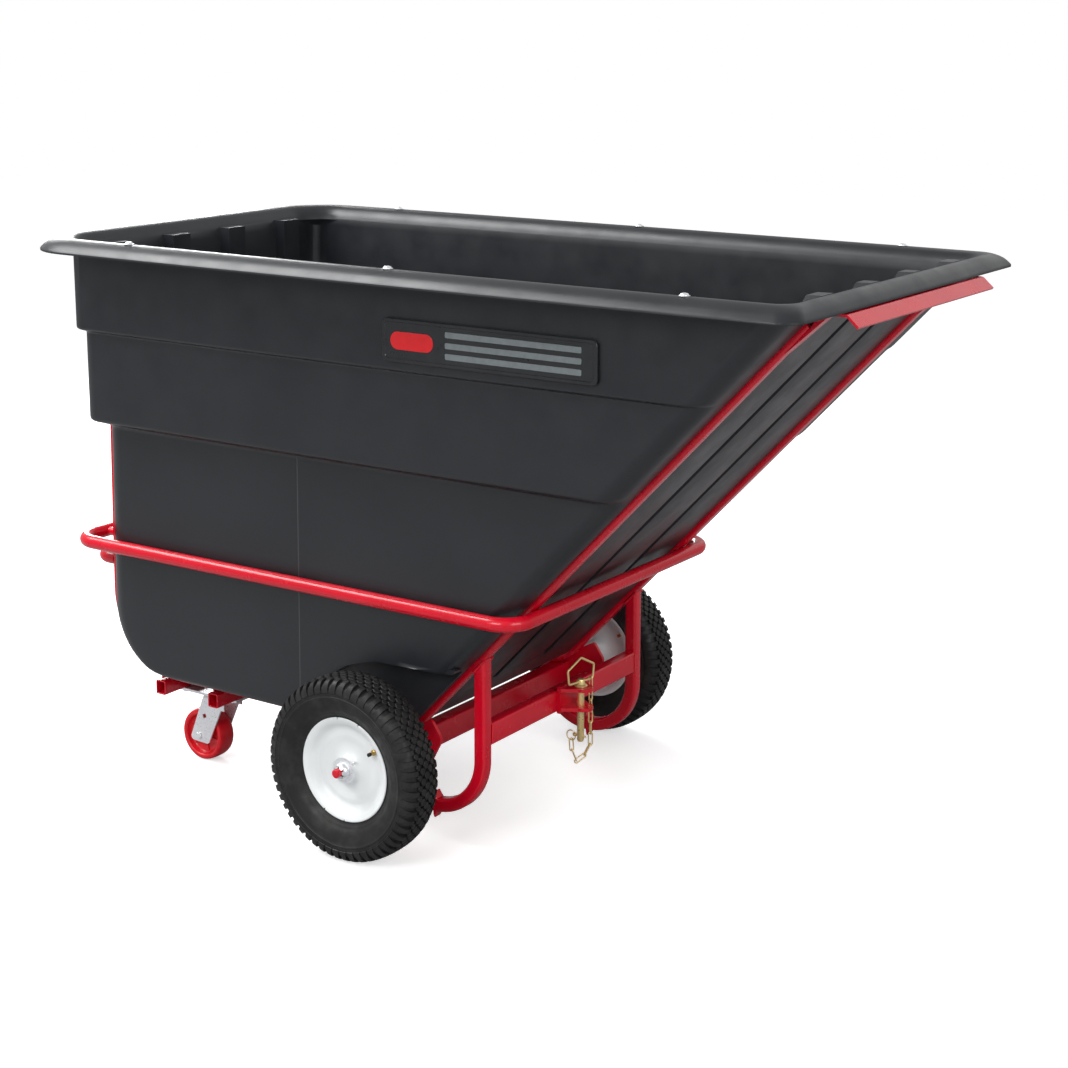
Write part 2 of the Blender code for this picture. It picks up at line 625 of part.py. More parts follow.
def build_caster(name, side):
    y = side * CASTER_Y
    plate = box(-0.096, 0.096, -0.050, 0.050, -PLATE_T, 0)
    plate = finish(f"caster_plate_{name}", plate, ZINC, (CASTER_X - 0.006, y, PLATE_TOP))
    hole = turned([(KING_R + GAP, -0.02), (KING_R + GAP, 0.02)], 14)
    combine(plate, finish(f"plate_hole_{name}", hole, None, (CASTER_X, y, PLATE_TOP)), "DIFFERENCE")
    nut = [(KING_R, CROWN_TOP - LEG_T - 0.010), (0.0105, CROWN_TOP - LEG_T - 0.010),
           (0.0105, CROWN_TOP - LEG_T - GAP), (KING_R, CROWN_TOP - LEG_T - GAP)]
    bm = turned(nut + [(KING_R, PLATE_TOP + GAP), (0.011, PLATE_TOP + GAP),
                       (0.0095, PLATE_TOP + 0.007)], 14)
    finish(f"caster_kingpin_{name}", bm, ZINC, (CASTER_X, y, 0))
    # fork: crown with two raked legs
    swivel = empty(f"caster_swivel_{name}", (CASTER_X, y, 0), CART)
    top = CROWN_TOP
    half_out = LEG_IN + LEG_T
    crown = [(-half_out, top - 0.030), (-half_out, top), (half_out, top), (half_out, top - 0.030),
             (LEG_IN, top - 0.030), (LEG_IN, top - LEG_T), (-LEG_IN, top - LEG_T),
             (-LEG_IN, top - 0.030)]
    legs = [(v, z - 0.0) for v, z in crown]
    rings = []
    for x0, x1, drop in ((-0.034, 0.034, 0),):
        for x in (x0, x1):
            rings.append([(x, v, z) for v, z in legs])
    fork = finish(f"caster_fork_{name}", loft(rings), ZINC, parent=swivel)
    for i, s in enumerate((-1, 1)):
        foot = CASTER_R - 0.016
        shape = [(-0.034, 0, top - 0.002), (0.034, 0, top - 0.002), (-CASTER_TRAIL + 0.030, 0, foot),
                 (-CASTER_TRAIL - 0.030, 0, foot + 0.003)]
        ring = rounded(shape, [0.002, 0.002, 0.008, 0.008], 2, True)
        y0, y1 = sorted((s * LEG_IN, s * half_out))
        leg = prism_y([(p.x, p.z) for p in ring], y0, y1)
        combine(fork, finish(f"fork_leg_{name}_{i}", leg, None, parent=swivel), "UNION")
    race = turned([(0.030, top - 0.001), (0.030, top + 0.004), (0.024, PLATE_LOW - GAP)], 20)
    combine(fork, finish(f"fork_race_{name}", race, None, parent=swivel), "UNION")
    hole = turned([(KING_R + GAP, top - 0.03), (KING_R + GAP, top + 0.03)], 14)
    combine(fork, finish(f"fork_king_hole_{name}", hole, None, parent=swivel), "DIFFERENCE")
    hole = turned([(0.0063, -0.06), (0.0063, 0.06)], 12, "Y")
    combine(fork, finish(f"fork_axle_hole_{name}", hole, None, (-CASTER_TRAIL, 0, CASTER_R),
                         parent=swivel), "DIFFERENCE")
    hole = box(-0.006, 0.006, -0.06, 0.06, -0.005, 0.005)
    combine(fork, finish(f"fork_square_hole_{name}", hole, None, (-CASTER_TRAIL * 0.62, 0, 0.1165),
                         parent=swivel, turn=(0, math.radians(-25), 0)), "DIFFERENCE")
    # wheel: moulded hub, web and tread
    w = CASTER_W / 2
    prof = [(0.0066, -0.0282), (0.015, -0.0282), (0.017, -0.012), (0.046, -0.008), (0.050, -w + 0.001),
            (0.0595, -w), (CASTER_R, -w + 0.009), (CASTER_R, w - 0.009),
            (0.0595, w), (0.050, w - 0.001), (0.046, 0.008), (0.017, 0.012),
            (0.015, 0.0282), (0.0066, 0.0282)]
    finish(f"caster_wheel_{name}", lathe(prof, 22), RED_WHEEL, (-CASTER_TRAIL, 0, CASTER_R), swivel)
    head = half_out + GAP
    prof = [(0.0085, -head - 0.005), (0.0095, -head - 0.003), (0.0095, -head), (0.006, -head),
            (0.006, head), (0.0100, head), (0.0100, head + 0.006)]
    finish(f"caster_axle_bolt_{name}", turned(prof, 12, "Y"), ZINC, (-CASTER_TRAIL, 0, CASTER_R), swivel)


both(build_caster)

# ---------------------------------------------------------------- wheels
finish("axle_shaft", turned([(AXLE_R - 0.0015, -AXLE_HALF), (AXLE_R, -AXLE_HALF + 0.0015),
                             (AXLE_R, AXLE_HALF - 0.0015), (AXLE_R - 0.0015, AXLE_HALF)], 24, "Y"),
       RED, (0, 0, AXLE_Z))

SEAT_R = 0.1016
RIM_FLANGE_R = 0.1150
RIM_W = 0.0300
HUB_OUT = 0.0310
HUB_IN = 0.0350
BEARING_R = 0.0165
BEARING_L = 0.012


def build_wheel(name, side):
    """Everything that turns on one end of the axle; s points away from the cart."""
    hub = empty(f"wheel_{name}", (0, side * WHEEL_Y, AXLE_Z), CART)
    s = side
    r = SEAT_R + 0.0012
    w = RIM_W
    tyre = [(r, -w + 0.0075), (r + 0.0125, -w + 0.0040), (r + 0.0150, -w + 0.0020),
            (0.142, -0.0490), (0.168, -0.0525), (0.188, -0.0490), (0.1990, -0.0370),
            (WHEEL_R, -0.0130), (WHEEL_R, 0.0130), (0.1990, 0.0370),
            (0.188, 0.0490), (0.168, 0.0525), (0.142, 0.0490),
            (r + 0.0150, w - 0.0020), (r + 0.0125, w - 0.0040), (r, w - 0.0075), (r, w - 0.016),
            (0.150, 0.0400), (0.185, 0.0300), (0.185, -0.0300), (0.150, -0.0400), (r, -w + 0.016)]
    finish(f"tyre_{name}", lathe(tyre, 32), TYRE, parent=hub, sharp=50)
    out, inn = HUB_OUT, -HUB_IN
    seat = BEARING_R
    bore = 0.0135
    tube = 0.0235
    t = 0.003
    disc = [(seat, out), (tube, out), (0.0265, 0.0220), (0.040, 0.0105), (0.078, 0.0075),
            (0.0925, 0.0130), (SEAT_R - t, 0.0225), (RIM_FLANGE_R - 0.002, w),
            (RIM_FLANGE_R, w - 0.0015), (RIM_FLANGE_R - 0.0005, w - 0.003), (SEAT_R, w - 0.0065),
            (SEAT_R, -w + 0.0065),
            (RIM_FLANGE_R - 0.0005, -w + 0.003), (RIM_FLANGE_R, -w + 0.0015),
            (RIM_FLANGE_R - 0.002, -w), (SEAT_R - t, -0.0200), (0.0900, -0.0030), (0.078, 0.0010),
            (0.040, 0.0010), (tube, -0.0080), (tube, inn), (seat, inn),
            (seat, inn + BEARING_L + GAP), (bore, inn + BEARING_L + GAP),
            (bore, out - BEARING_L - GAP), (seat, out - BEARING_L - GAP)]
    disc = [(a, s * b) for a, b in disc]
    wheel = finish(f"wheel_disc_{name}", lathe(disc, 28), WHITE, parent=hub, sharp=40)
    race = []
    for a, b in ((AXLE_R + GAP, 0), (BEARING_R - GAP, 0), (BEARING_R - GAP, BEARING_L),
                 (AXLE_R + GAP, BEARING_L)):
        race.append((a, b))
    outer = [(a, s * (out - BEARING_L + b)) for a, b in race]
    inner = [(a, s * (inn + b)) for a, b in race]
    finish(f"bearing_outer_{name}", lathe(outer, 18), STEEL, parent=hub)
    finish(f"bearing_inner_{name}", lathe(inner, 18), STEEL, parent=hub)
    nut = [(AXLE_R + GAP, out + GAP), (0.0250, out + GAP), (0.0250, out + 0.0022),
           (0.0170, out + 0.0040), (0.0135, out + 0.0075), (AXLE_R + GAP, out + 0.0075)]
    finish(f"push_nut_{name}", lathe([(a, s * b) for a, b in nut], 16), ZINC, parent=hub)
    # valve stem through the disc, near the rim
    a = math.radians(35)
    vr = 0.0830
    place = (vr * math.cos(a), 0, vr * math.sin(a))
    hole = turned([(0.0042, -0.03), (0.0042, 0.03)], 12, "Y")
    combine(wheel, finish(f"valve_hole_{name}", hole, None, place, hub), "DIFFERENCE")
    stem = [(0.0039, -0.012), (0.0039, 0.0115), (0.0060, 0.0125), (0.0055, 0.0165), (0.0034, 0.0185),
            (0.0034, 0.0300), (0.0026, 0.0312)]
    finish(f"valve_stem_{name}", turned([(p, s * q) for p, q in stem], 12, "Y"), BRASS, place, hub)


both(build_wheel)

# ---------------------------------------------------------------- rim bolts and badges
for i, x in enumerate((-0.630, 0.109, 0.806)):
    for name, side in (("right", -1), ("left", 1)):
        half = RIM_HALF + RIM_BOW * (1 - ((x - RIM_MID) / RIM_REACH) ** 2)
        place = (x, side * (half - RIM_RIDGE), RIM_LOW + RIM_RISE)
        hole = turned([(0.0043, -0.03), (0.0043, 0.03)], 12)
        combine(hopper, finish(f"bolt_hole_{name}_{i}", hole, None, place), "DIFFERENCE")
        prof = [(0.0040, -0.022), (0.0040, GAP), (0.0110, GAP), (0.0092, 0.0032), (0.0035, 0.0060)]
        finish(f"rim_bolt_{name}_{i + 1}", turned(prof, 12), ZINC, place)


def build_badge(name, side):
    """A raised name plate with a sunk field, left blank."""
    length, height, lift = 0.528, 0.092, 0.0065
    x, z = RIM_FRONT - 0.7264, RIM_LOW - 0.1226
    lean = RIM_BOW * (((x + length / 2 - RIM_MID) / RIM_REACH) ** 2
                      - ((x - length / 2 - RIM_MID) / RIM_REACH) ** 2) / length
    bulge = RIM_BOW * (1 - ((x - RIM_MID) / RIM_REACH) ** 2)
    face = RIM_HALF - BAND1_IN + bulge - 0.0004
    rings = []
    for inset, out in ((0, 0), (0, lift - 0.0015), (0.0015, lift), (0.007, lift), (0.0085, lift - 0.002)):
        ring = rect(length - 2 * inset, height - 2 * inset, 0.012 - inset * 0.6, 3)
        rings.append([(u, side * out, v) for u, v in ring])
    turn = (0, 0, -side * math.atan(lean))
    return finish(f"side_badge_{name}", loft(rings), BADGE, (x, side * face, z), turn=turn)


both(build_badge)

# ---------------------------------------------------------------- towing clevis
CLEVIS_BACK = GUARD_X + GUARD_T / 2 + GAP
EAR_END = PIN_X + 0.054
EAR_FROM, EAR_TO = EAR_LOW - 0.049, EAR_TOP + 0.026
ear_low = EAR_LOW - EAR_T
shape = [(CLEVIS_BACK, ear_low - 0.006), (CLEVIS_BACK, EAR_TOP + 0.003),
         (CLEVIS_BACK + 0.008, EAR_TOP + 0.003), (CLEVIS_BACK + 0.008, EAR_TOP),
         (EAR_END, EAR_TOP), (EAR_END, EAR_TOP - EAR_T),
         (CLEVIS_BACK + 0.008, EAR_TOP - EAR_T), (CLEVIS_BACK + 0.008, EAR_LOW), (EAR_END, EAR_LOW),
         (EAR_END, ear_low), (CLEVIS_BACK + 0.008, ear_low), (CLEVIS_BACK + 0.008, ear_low - 0.006)]
clevis = finish("tow_clevis", prism_y(shape, -0.045, 0.045), RED)
EAR_TIP = 0.022
plan = [(CLEVIS_BACK - 0.01, -0.0440, 0), (CLEVIS_BACK + 0.011, -0.0440, 0)]
tip = [(PIN_X + 0.008 + EAR_TIP * math.sin(a), -EAR_TIP * math.cos(a), 0)
       for a in (math.radians(15 * k) for k in range(13))]
plan = plan + tip + [(CLEVIS_BACK + 0.011, 0.0440, 0), (CLEVIS_BACK - 0.01, 0.0440, 0)]
mask = loft([[(p[0], p[1], EAR_FROM) for p in plan], [(p[0], p[1], EAR_TO) for p in plan]])
combine(clevis, finish("clevis_plan", mask, None), "INTERSECT")
hole = turned([(PIN_R + 3 * GAP, EAR_FROM), (PIN_R + 3 * GAP, EAR_TO)], 16)
combine(clevis, finish("clevis_hole", hole, None, (PIN_X, 0, 0)), "DIFFERENCE")

# ---------------------------------------------------------------- hitch pin, handle, clip and chain
hitch = empty("hitch_pin_axis", (PIN_X, 0, EAR_TOP), CART)
PIN_LOW = -0.131
WIRE = 0.0025
WIRE_Z = 0.0105
prof = [(0.0050, PIN_LOW), (PIN_R, PIN_LOW + 0.005), (PIN_R, GAP), (0.0150, GAP), (0.0150, 0.0035),
        (0.0095, 0.0060), (0.0090, 0.0150), (0.0060, 0.0175)]
pin = finish("hitch_pin", turned(prof, 16), YELLOW_ZINC, parent=hitch)
hole = turned([(WIRE + 2 * GAP, -0.03), (WIRE + 2 * GAP, 0.03)], 8, "Y")
combine(pin, finish("pin_handle_hole", hole, None, (0, 0, WIRE_Z), hitch, turn=(0, 0, -PIN_TURN)),
        "DIFFERENCE")
CLIP_Z = -0.1175
CLIP_R = 0.0022
hole = turned([(CLIP_R + 2 * GAP, -0.03), (CLIP_R + 2 * GAP, 0.03)], 8, "X")
combine(pin, finish("pin_clip_hole", hole, None, (0, 0, CLIP_Z), hitch), "DIFFERENCE")

BAIL = 0.038
HANG = 0.032
bail = [(0, -BAIL, WIRE_Z), (0, BAIL, WIRE_Z), (0, BAIL + 0.004, WIRE_Z + 0.033),
        (0, 0, WIRE_Z + 0.056), (0, -BAIL - 0.004, WIRE_Z + 0.033)]
wire = sweep(rounded(bail, 0.004, 3, True), circle(WIRE, 8), (1, 0, 0), closed=True)
finish("hitch_pin_handle", wire, YELLOW_ZINC, parent=hitch, turn=(0, 0, -PIN_TURN))

# lynch clip: a shank through the pin with a sprung ring on its head
prof = [(0.0015, 0.0150), (CLIP_R, 0.0130), (CLIP_R, -0.0110), (0.0042, -0.0120), (0.0042, -0.0185),
        (0.0025, -0.0200)]
clip = finish("hitch_clip", turned(prof, 8, "X"), YELLOW_ZINC, (0, 0, CLIP_Z), hitch)
CLIP_RING = 0.0115
CLIP_WIRE = 0.0014
ring_mid = Vector((-0.0255, 0, CLIP_Z - 0.0035))
ring_pts = [(p, 0, q) for p, q in circle(CLIP_RING, 18)]
ring = sweep(ring_pts, circle(CLIP_WIRE, 6), (0, -1, 0), closed=True)
combine(clip, finish("clip_ring", ring, None, ring_mid, hitch), "UNION")

# chain from the handle down and back up to the clip ring. Links alternate between lying
# across the plane of the bend and lying in it.
SPAN = LINK_LEN - 2 * LINK_WIRE         # between the wire centres of a link's two ends
SEAT = LINK_HALF_W - 2 * LINK_WIRE - 0.0007
start = Vector((HANG * math.sin(PIN_TURN), HANG * math.cos(PIN_TURN), WIRE_Z))
goal = Vector((ring_mid.x, 0, ring_mid.z - CLIP_RING))
flat = Vector((goal.x - start.x, goal.y - start.y, 0))
reach = flat.length
flat.normalize()
across = Vector((0, 0, 1)).cross(flat)
DOWN = 6


def heading(angle):
    """Unit (along, up) for an angle measured from straight down."""
    return Vector((math.sin(angle), -math.cos(angle)))


def hang(angles):
    """Middles of the links, in (along, up); each one rests inside the one before."""
    middles = []
    end = Vector((0.0, start.z + WIRE + LINK_WIRE + GAP))
    for i, angle in enumerate(angles):
        way = heading(angle)
        if i % 2 == 0:
            near = end + way * (SEAT if i else 0)
            middles.append(near + way * SPAN / 2)
            end = near + way * SPAN
        else:
            near = end + heading(angles[i - 1]) * SEAT
            middles.append(near + way * (SPAN / 2 - LINK_HALF_W))
            end = near + way * (SPAN - 2 * LINK_HALF_W)
    return middles, end


def chain_angles():
    """Bend the lower links until the last one hangs from the clip ring."""
    first, last = math.radians(28), math.radians(176)
    u, v = math.radians(70), math.radians(150)
    want = Vector((reach, goal.z)) - heading(last) * (LINK_HALF_W - LINK_WIRE - CLIP_WIRE - 0.0012)

    def miss(p, q):
        return hang([0.0] * DOWN + [first, p, q, last])[1] - want

    for _ in range(60):
        m = miss(u, v)
        step = 1e-5
        mu = (miss(u + step, v) - m) / step
        mv = (miss(u, v + step) - m) / step
        det = mu.x * mv.y - mu.y * mv.x
        u -= max(-0.15, min(0.15, (m.x * mv.y - m.y * mv.x) / det))
        v -= max(-0.15, min(0.15, (mu.x * m.y - mu.y * m.x) / det))
    return [0.0] * DOWN + [first, u, v, last]


half_span = SPAN / 2 - LINK_HALF_W
link_path = []
for k in range(5):
    t = math.radians(45 * k)
    link_path.append((LINK_HALF_W * math.cos(t), half_span + LINK_HALF_W * math.sin(t), 0))
for k in range(5):
    t = math.radians(180 + 45 * k)
    link_path.append((LINK_HALF_W * math.cos(t), -half_span + LINK_HALF_W * math.sin(t), 0))

angles = chain_angles()
middles, _ = hang(angles)
handle_side = Vector((math.cos(PIN_TURN), -math.sin(PIN_TURN), 0))
twist = math.atan2(handle_side.y, handle_side.x) - math.atan2(across.y, across.x)
last_way = flat * math.sin(angles[-1]) + Vector((0, 0, -math.cos(angles[-1])))
last_wide = across.cross(last_way).normalized()
square = Vector((0, -1, 0))
square = (square - last_way * square.dot(last_way)).normalized()
curl = math.atan2(last_wide.cross(square).dot(last_way), last_wide.dot(square))
for i, angle in enumerate(angles):
    way = flat * math.sin(angle) + Vector((0, 0, -math.cos(angle)))
    wide = across.copy() if i % 2 == 0 else across.cross(way).normalized()
    if i < DOWN:
        wide.rotate(Matrix.Rotation(twist * (1 - i / (DOWN - 1)), 3, "Z"))
    elif i == LINKS - 1:
        wide.rotate(Matrix.Rotation(curl * 0.3, 3, way))
    out = wide.cross(way).normalized()
    bm = sweep(link_path, circle(LINK_WIRE, 6), (0, 0, 1), closed=True)
    link = finish(f"chain_link_{i + 1:02d}", bm, YELLOW_ZINC, parent=hitch, sharp=70)
    place = Vector((start.x, start.y, 0)) + flat * middles[i].x + Vector((0, 0, middles[i].y))
    axes = Matrix((wide, way, out)).transposed().to_4x4()
    link.matrix_local = Matrix.Translation(place) @ axes
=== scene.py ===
"""Looks of the tilt truck: finer skins for the moulded hopper, the red tube frame, tyres,
wheels, casters and hitch, procedural materials, a pale floor, soft light and the camera.

Metres, +X towards the tipping end, +Z up. The detailed pieces are laid out from the wheel
axle, as the CAD is, and moved to the row frame when they are made.
"""
import json
from math import atan, copysign, cos, pi, radians, sin, sqrt, tan

import bmesh
import bpy
from mathutils import Euler, Matrix, Vector


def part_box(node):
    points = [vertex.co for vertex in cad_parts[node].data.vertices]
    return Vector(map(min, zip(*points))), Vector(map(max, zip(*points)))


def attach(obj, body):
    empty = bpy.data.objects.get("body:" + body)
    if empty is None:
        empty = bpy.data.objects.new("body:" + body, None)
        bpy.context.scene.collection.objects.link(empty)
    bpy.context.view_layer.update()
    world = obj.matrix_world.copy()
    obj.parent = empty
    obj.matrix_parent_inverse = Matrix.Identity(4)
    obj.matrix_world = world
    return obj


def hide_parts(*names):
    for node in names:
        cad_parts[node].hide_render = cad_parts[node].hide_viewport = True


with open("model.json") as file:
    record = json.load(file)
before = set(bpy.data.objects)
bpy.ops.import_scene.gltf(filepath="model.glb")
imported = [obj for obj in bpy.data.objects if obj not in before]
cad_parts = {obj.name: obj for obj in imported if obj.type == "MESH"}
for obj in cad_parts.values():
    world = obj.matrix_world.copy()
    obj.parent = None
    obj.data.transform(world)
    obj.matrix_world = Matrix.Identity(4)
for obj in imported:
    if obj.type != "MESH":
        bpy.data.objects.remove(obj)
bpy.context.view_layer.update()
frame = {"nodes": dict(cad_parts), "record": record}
NODES = frame["nodes"]


def middle(node):
    low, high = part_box(node)
    return (Vector(low) + Vector(high)) / 2


def size(node):
    low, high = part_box(node)
    return Vector(high) - Vector(low)


AXLE = middle("axle_shaft")
AXLE_X = AXLE.x
SIDES = (("right", -1), ("left", 1))

# ---- sizes the CAD uses
GAP = 0.0003
WHEEL_R = size("tyre_right").x / 2
WHEEL_Y = abs(middle("tyre_right").y)
AXLE_Z = AXLE.z
AXLE_R = size("axle_shaft").x / 2
AXLE_HALF = size("axle_shaft").y / 2
RIM_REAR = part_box("hopper")[0][0] - AXLE_X
RIM_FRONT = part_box("hopper")[1][0] - AXLE_X
RIM_BOW = 0.009
RIM_HALF = size("hopper").y / 2 - RIM_BOW
RIM_RISE = 0.0304
RIM_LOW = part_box("hopper")[1][2] - RIM_RISE
RIM_RIDGE = 0.05
RIM_CORNER = 0.165
RIM_CORNER_FRONT = 0.042
WALL = 0.008
BODY_CORNER = 0.05
LOW_CORNER = 0.06
BAND1_IN = 0.087
BAND2_IN = 0.106
SIDE_IN = 0.146
BACK_IN = 0.1315
STEP1_Z = 1.07
STEP2_Z = 0.85
FLOOR_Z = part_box("hopper")[0][2]
BACK_BEND = 0.165
SIDE_BEND = 0.02
NOSE_BEND = 0.06
SLOPE = radians(46.25)
SLOPE_X0 = -0.2016
RAIL_Y = abs(middle("cradle_rail_right").y)
RAIL_W = size("cradle_rail_right").y
RAIL_D = 0.025
RAIL_PROUD = 0.01
RAIL_BACK = -0.8665
RIB_Y = 0.1
CHANNEL_IN = -0.852
CHANNEL_DEEP = 0.016
RING_R = size("bumper_ring").z / 2 / cos(radians(18))
RING_Y = size("bumper_ring").y / 2 - RING_R
RING_Z = middle("bumper_ring").z
RING_BACK = -0.915
RING_CORNER = 0.06
HANDLE_Z = middle("rear_handle_bar").z
HANDLE_BACK = -0.941
BEAM_D = 0.04
BEAM_H = size("axle_beam").z
BEAM_HALF = size("axle_beam").y / 2
GUARD_T = 0.03
GUARD_X = 0.2145
GUARD_BEND = 0.124
GUARD_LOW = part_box("front_guard_right")[0][2]
BAR_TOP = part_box("front_bar")[1][2]
BAR_H = size("front_bar").z
CASTER_X = -0.62
CASTER_Y = abs(middle("caster_wheel_right").y)
CASTER_R = size("caster_wheel_right").x / 2
CASTER_TRAIL = 0.048
CASTER_W = 0.05
PIN_X = 0.266
PIN_TURN = radians(12)
EAR_TOP = 0.294

TAN = tan(SLOPE)
SLOPE_OUT = Vector((sin(SLOPE), 0, -cos(SLOPE)))
SLOPE_UP = Vector((cos(SLOPE), 0, sin(SLOPE)))


# ---- material building
class Shade:
    """A small wrapper round a node tree, so that materials read as a list of layers."""

    def __init__(self, name):
        self.mat = bpy.data.materials.new(name)
        self.mat.use_nodes = True
        self.tree = self.mat.node_tree
        self.bsdf = self.tree.nodes["Principled BSDF"]
        self.where = self.tree.nodes.new("ShaderNodeTexCoord").outputs["Object"]
        self.bumped = None

    def node(self, kind, **inputs):
        made = self.tree.nodes.new(kind)
        for key, value in inputs.items():
            self.put(made.inputs[key.replace("_", " ")], value)
        return made

    def put(self, socket, value):
        if hasattr(value, "is_output"):
            self.tree.links.new(value, socket)
        else:
            socket.default_value = value

    def noise(self, scale, detail=3.0, rough=0.55, stretch=(1, 1, 1)):
        made = self.node("ShaderNodeMapping", Vector=self.where, Scale=stretch)
        made = self.node("ShaderNodeTexNoise", Vector=made.outputs[0], Scale=scale, Detail=detail,
                         Roughness=rough)
        return made.outputs["Fac"]

    def cells(self, scale):
        return self.node("ShaderNodeTexVoronoi", Vector=self.where, Scale=scale).outputs["Distance"]

    def ramp(self, value, low, high, out_low=0.0, out_high=1.0):
        return self.node("ShaderNodeMapRange", Value=value, From_Min=low, From_Max=high,
                         To_Min=out_low, To_Max=out_high).outputs["Result"]

    def patches(self, scale, detail, low=0.0, high=1.0):
        return self.ramp(self.noise(scale, detail), 0.3, 0.7, low, high)

    def mix(self, amount, a, b):
        made = self.tree.nodes.new("ShaderNodeMix")
        made.data_type = "RGBA"
        self.put(made.inputs["Factor"], amount)
        for socket, value in ((made.inputs[6], a), (made.inputs[7], b)):
            self.put(socket, value if hasattr(value, "is_output") else (*value, 1))
        return made.outputs[2]

    def math(self, operation, a, b=0.0):
        made = self.tree.nodes.new("ShaderNodeMath")
        made.operation = operation
        self.put(made.inputs[0], a)
        self.put(made.inputs[1], b)
        return made.outputs[0]

    def bump(self, height, strength, distance):
        made = self.node("ShaderNodeBump", Height=height, Strength=strength, Distance=distance)
        if self.bumped:
            self.tree.links.new(self.bumped, made.inputs["Normal"])
        self.bumped = made.outputs["Normal"]
        self.put(self.bsdf.inputs["Normal"], self.bumped)

    def edges(self, radius):
        """1 on convex or concave edges, 0 on open faces."""
        made = self.node("ShaderNodeBevel", Radius=radius)
        made.samples = 4
        plain = self.tree.nodes.new("ShaderNodeNewGeometry").outputs["Normal"]
        dot = self.tree.nodes.new("ShaderNodeVectorMath")
        dot.operation = "DOT_PRODUCT"
        self.put(dot.inputs[0], made.outputs[0])
        self.put(dot.inputs[1], plain)
        return self.ramp(dot.outputs["Value"], 0.995, 0.9)

    def split(self):
        return self.node("ShaderNodeSeparateXYZ", Vector=self.where).outputs

    def set(self, **values):
        names = {"colour": "Base Color", "rough": "Roughness", "metal": "Metallic",
                 "coat": "Coat Weight", "coat_rough": "Coat Roughness",
                 "spec": "Specular IOR Level", "sub": "Subsurface Weight"}
        for key, value in values.items():
            socket = self.bsdf.inputs[names[key]]
            if key == "colour" and not hasattr(value, "is_output"):
                value = (*value, 1)
            self.put(socket, value)
        return self.mat


def moulded_plastic(name, dark, light, rough, painted_crease=False):
    s = Shade(name)
    cloudy = s.noise(3.5, 4, 0.6)
    colour = s.mix(s.ramp(cloudy, 0.35, 0.68), dark, light)
    scuff = s.noise(38, 5, 0.7, (1.0, 1.0, 0.16))
    colour = s.mix(s.ramp(scuff, 0.66, 0.8, 0.0, 0.3), colour, (0.03, 0.032, 0.036))
    if painted_crease:
        # Painted highlight: a lighter vertical line down the lower side walls stands in for the
        # light caught where the panel bends at a crease; a bump follows the same line.
        x, y, z = s.split()
        line = s.ramp(s.math("ABSOLUTE", s.math("ADD", x, -CREASE_X)), 0.0005, 0.0022, 1.0, 0.0)
        for value, low, high in ((s.math("ABSOLUTE", y), 0.384, 0.388), (z, 0.26, 0.3),
                                 (s.math("MULTIPLY", z, -1.0), -0.842, -0.838)):
            line = s.math("MULTIPLY", line, s.ramp(value, low, high))
        colour = s.mix(s.math("MULTIPLY", line, 0.35), colour, (0.1, 0.105, 0.11))
        s.bump(line, 0.5, 0.0012)
    s.bump(s.noise(9, 2), 0.25, 0.0025)
    s.bump(s.noise(620, 3, 0.6), 0.16, 0.0004)
    s.bump(s.cells(1500), 0.1, 0.0002)
    worn = s.ramp(s.noise(14, 4), 0.3, 0.75, rough - 0.05, rough + 0.08)
    return s.set(colour=colour, rough=worn, spec=0.5)


def powder_coat(name):
    s = Shade(name)
    tone = s.patches(7, 3)
    colour = s.mix(tone, (0.57, 0.0018, 0.0145), (0.66, 0.0026, 0.02))
    chips = s.math("MULTIPLY", s.edges(0.0016), s.ramp(s.noise(70, 4, 0.7), 0.6, 0.72))
    colour = s.mix(s.math("MULTIPLY", chips, 0.55), colour, (0.2, 0.01, 0.012))
    s.bump(s.noise(330, 2, 0.5), 0.1, 0.0005)
    rough = s.patches(25, 3, 0.2, 0.3)
    return s.set(colour=colour, rough=rough, coat=0.22, coat_rough=0.14, spec=0.38)


def tyre_rubber(name):
    s = Shade(name)
    dust = s.ramp(s.noise(26, 5, 0.65), 0.45, 0.78)
    colour = s.mix(dust, (0.0105, 0.0105, 0.011), (0.03, 0.029, 0.027))
    s.bump(s.noise(160, 4, 0.6), 0.2, 0.0006)
    s.bump(s.noise(900, 2, 0.5), 0.15, 0.0002)
    rough = s.patches(40, 4, 0.4, 0.62)
    return s.set(colour=colour, rough=rough, spec=0.32)


def wheel_paint(name):
    s = Shade(name)
    tone = s.ramp(s.noise(11, 4), 0.3, 0.72)
    colour = s.mix(tone, (0.8, 0.835, 0.84), (0.88, 0.9, 0.9))
    specks = s.ramp(s.noise(120, 5, 0.75), 0.7, 0.8, 0.0, 0.5)
    colour = s.mix(specks, colour, (0.42, 0.42, 0.41))
    s.bump(s.noise(260, 3), 0.1, 0.0005)
    return s.set(colour=colour, rough=s.patches(30, 3, 0.3, 0.44), coat=0.2)


def zinc(name, a, b, c, rough, metal):
    """Zinc plate: a metal whose tint drifts between three colours, with fine spangle."""
    s = Shade(name)
    drift = s.ramp(s.noise(95, 3), 0.35, 0.65)
    colour = s.mix(drift, a, b)
    colour = s.mix(s.ramp(s.noise(210, 2), 0.5, 0.7), colour, c)
    s.bump(s.cells(700), 0.06, 0.0002)
    s.bump(s.noise(1300, 2), 0.05, 0.0001)
    return s.set(colour=colour, metal=metal, rough=s.patches(180, 4, rough, rough + 0.14))


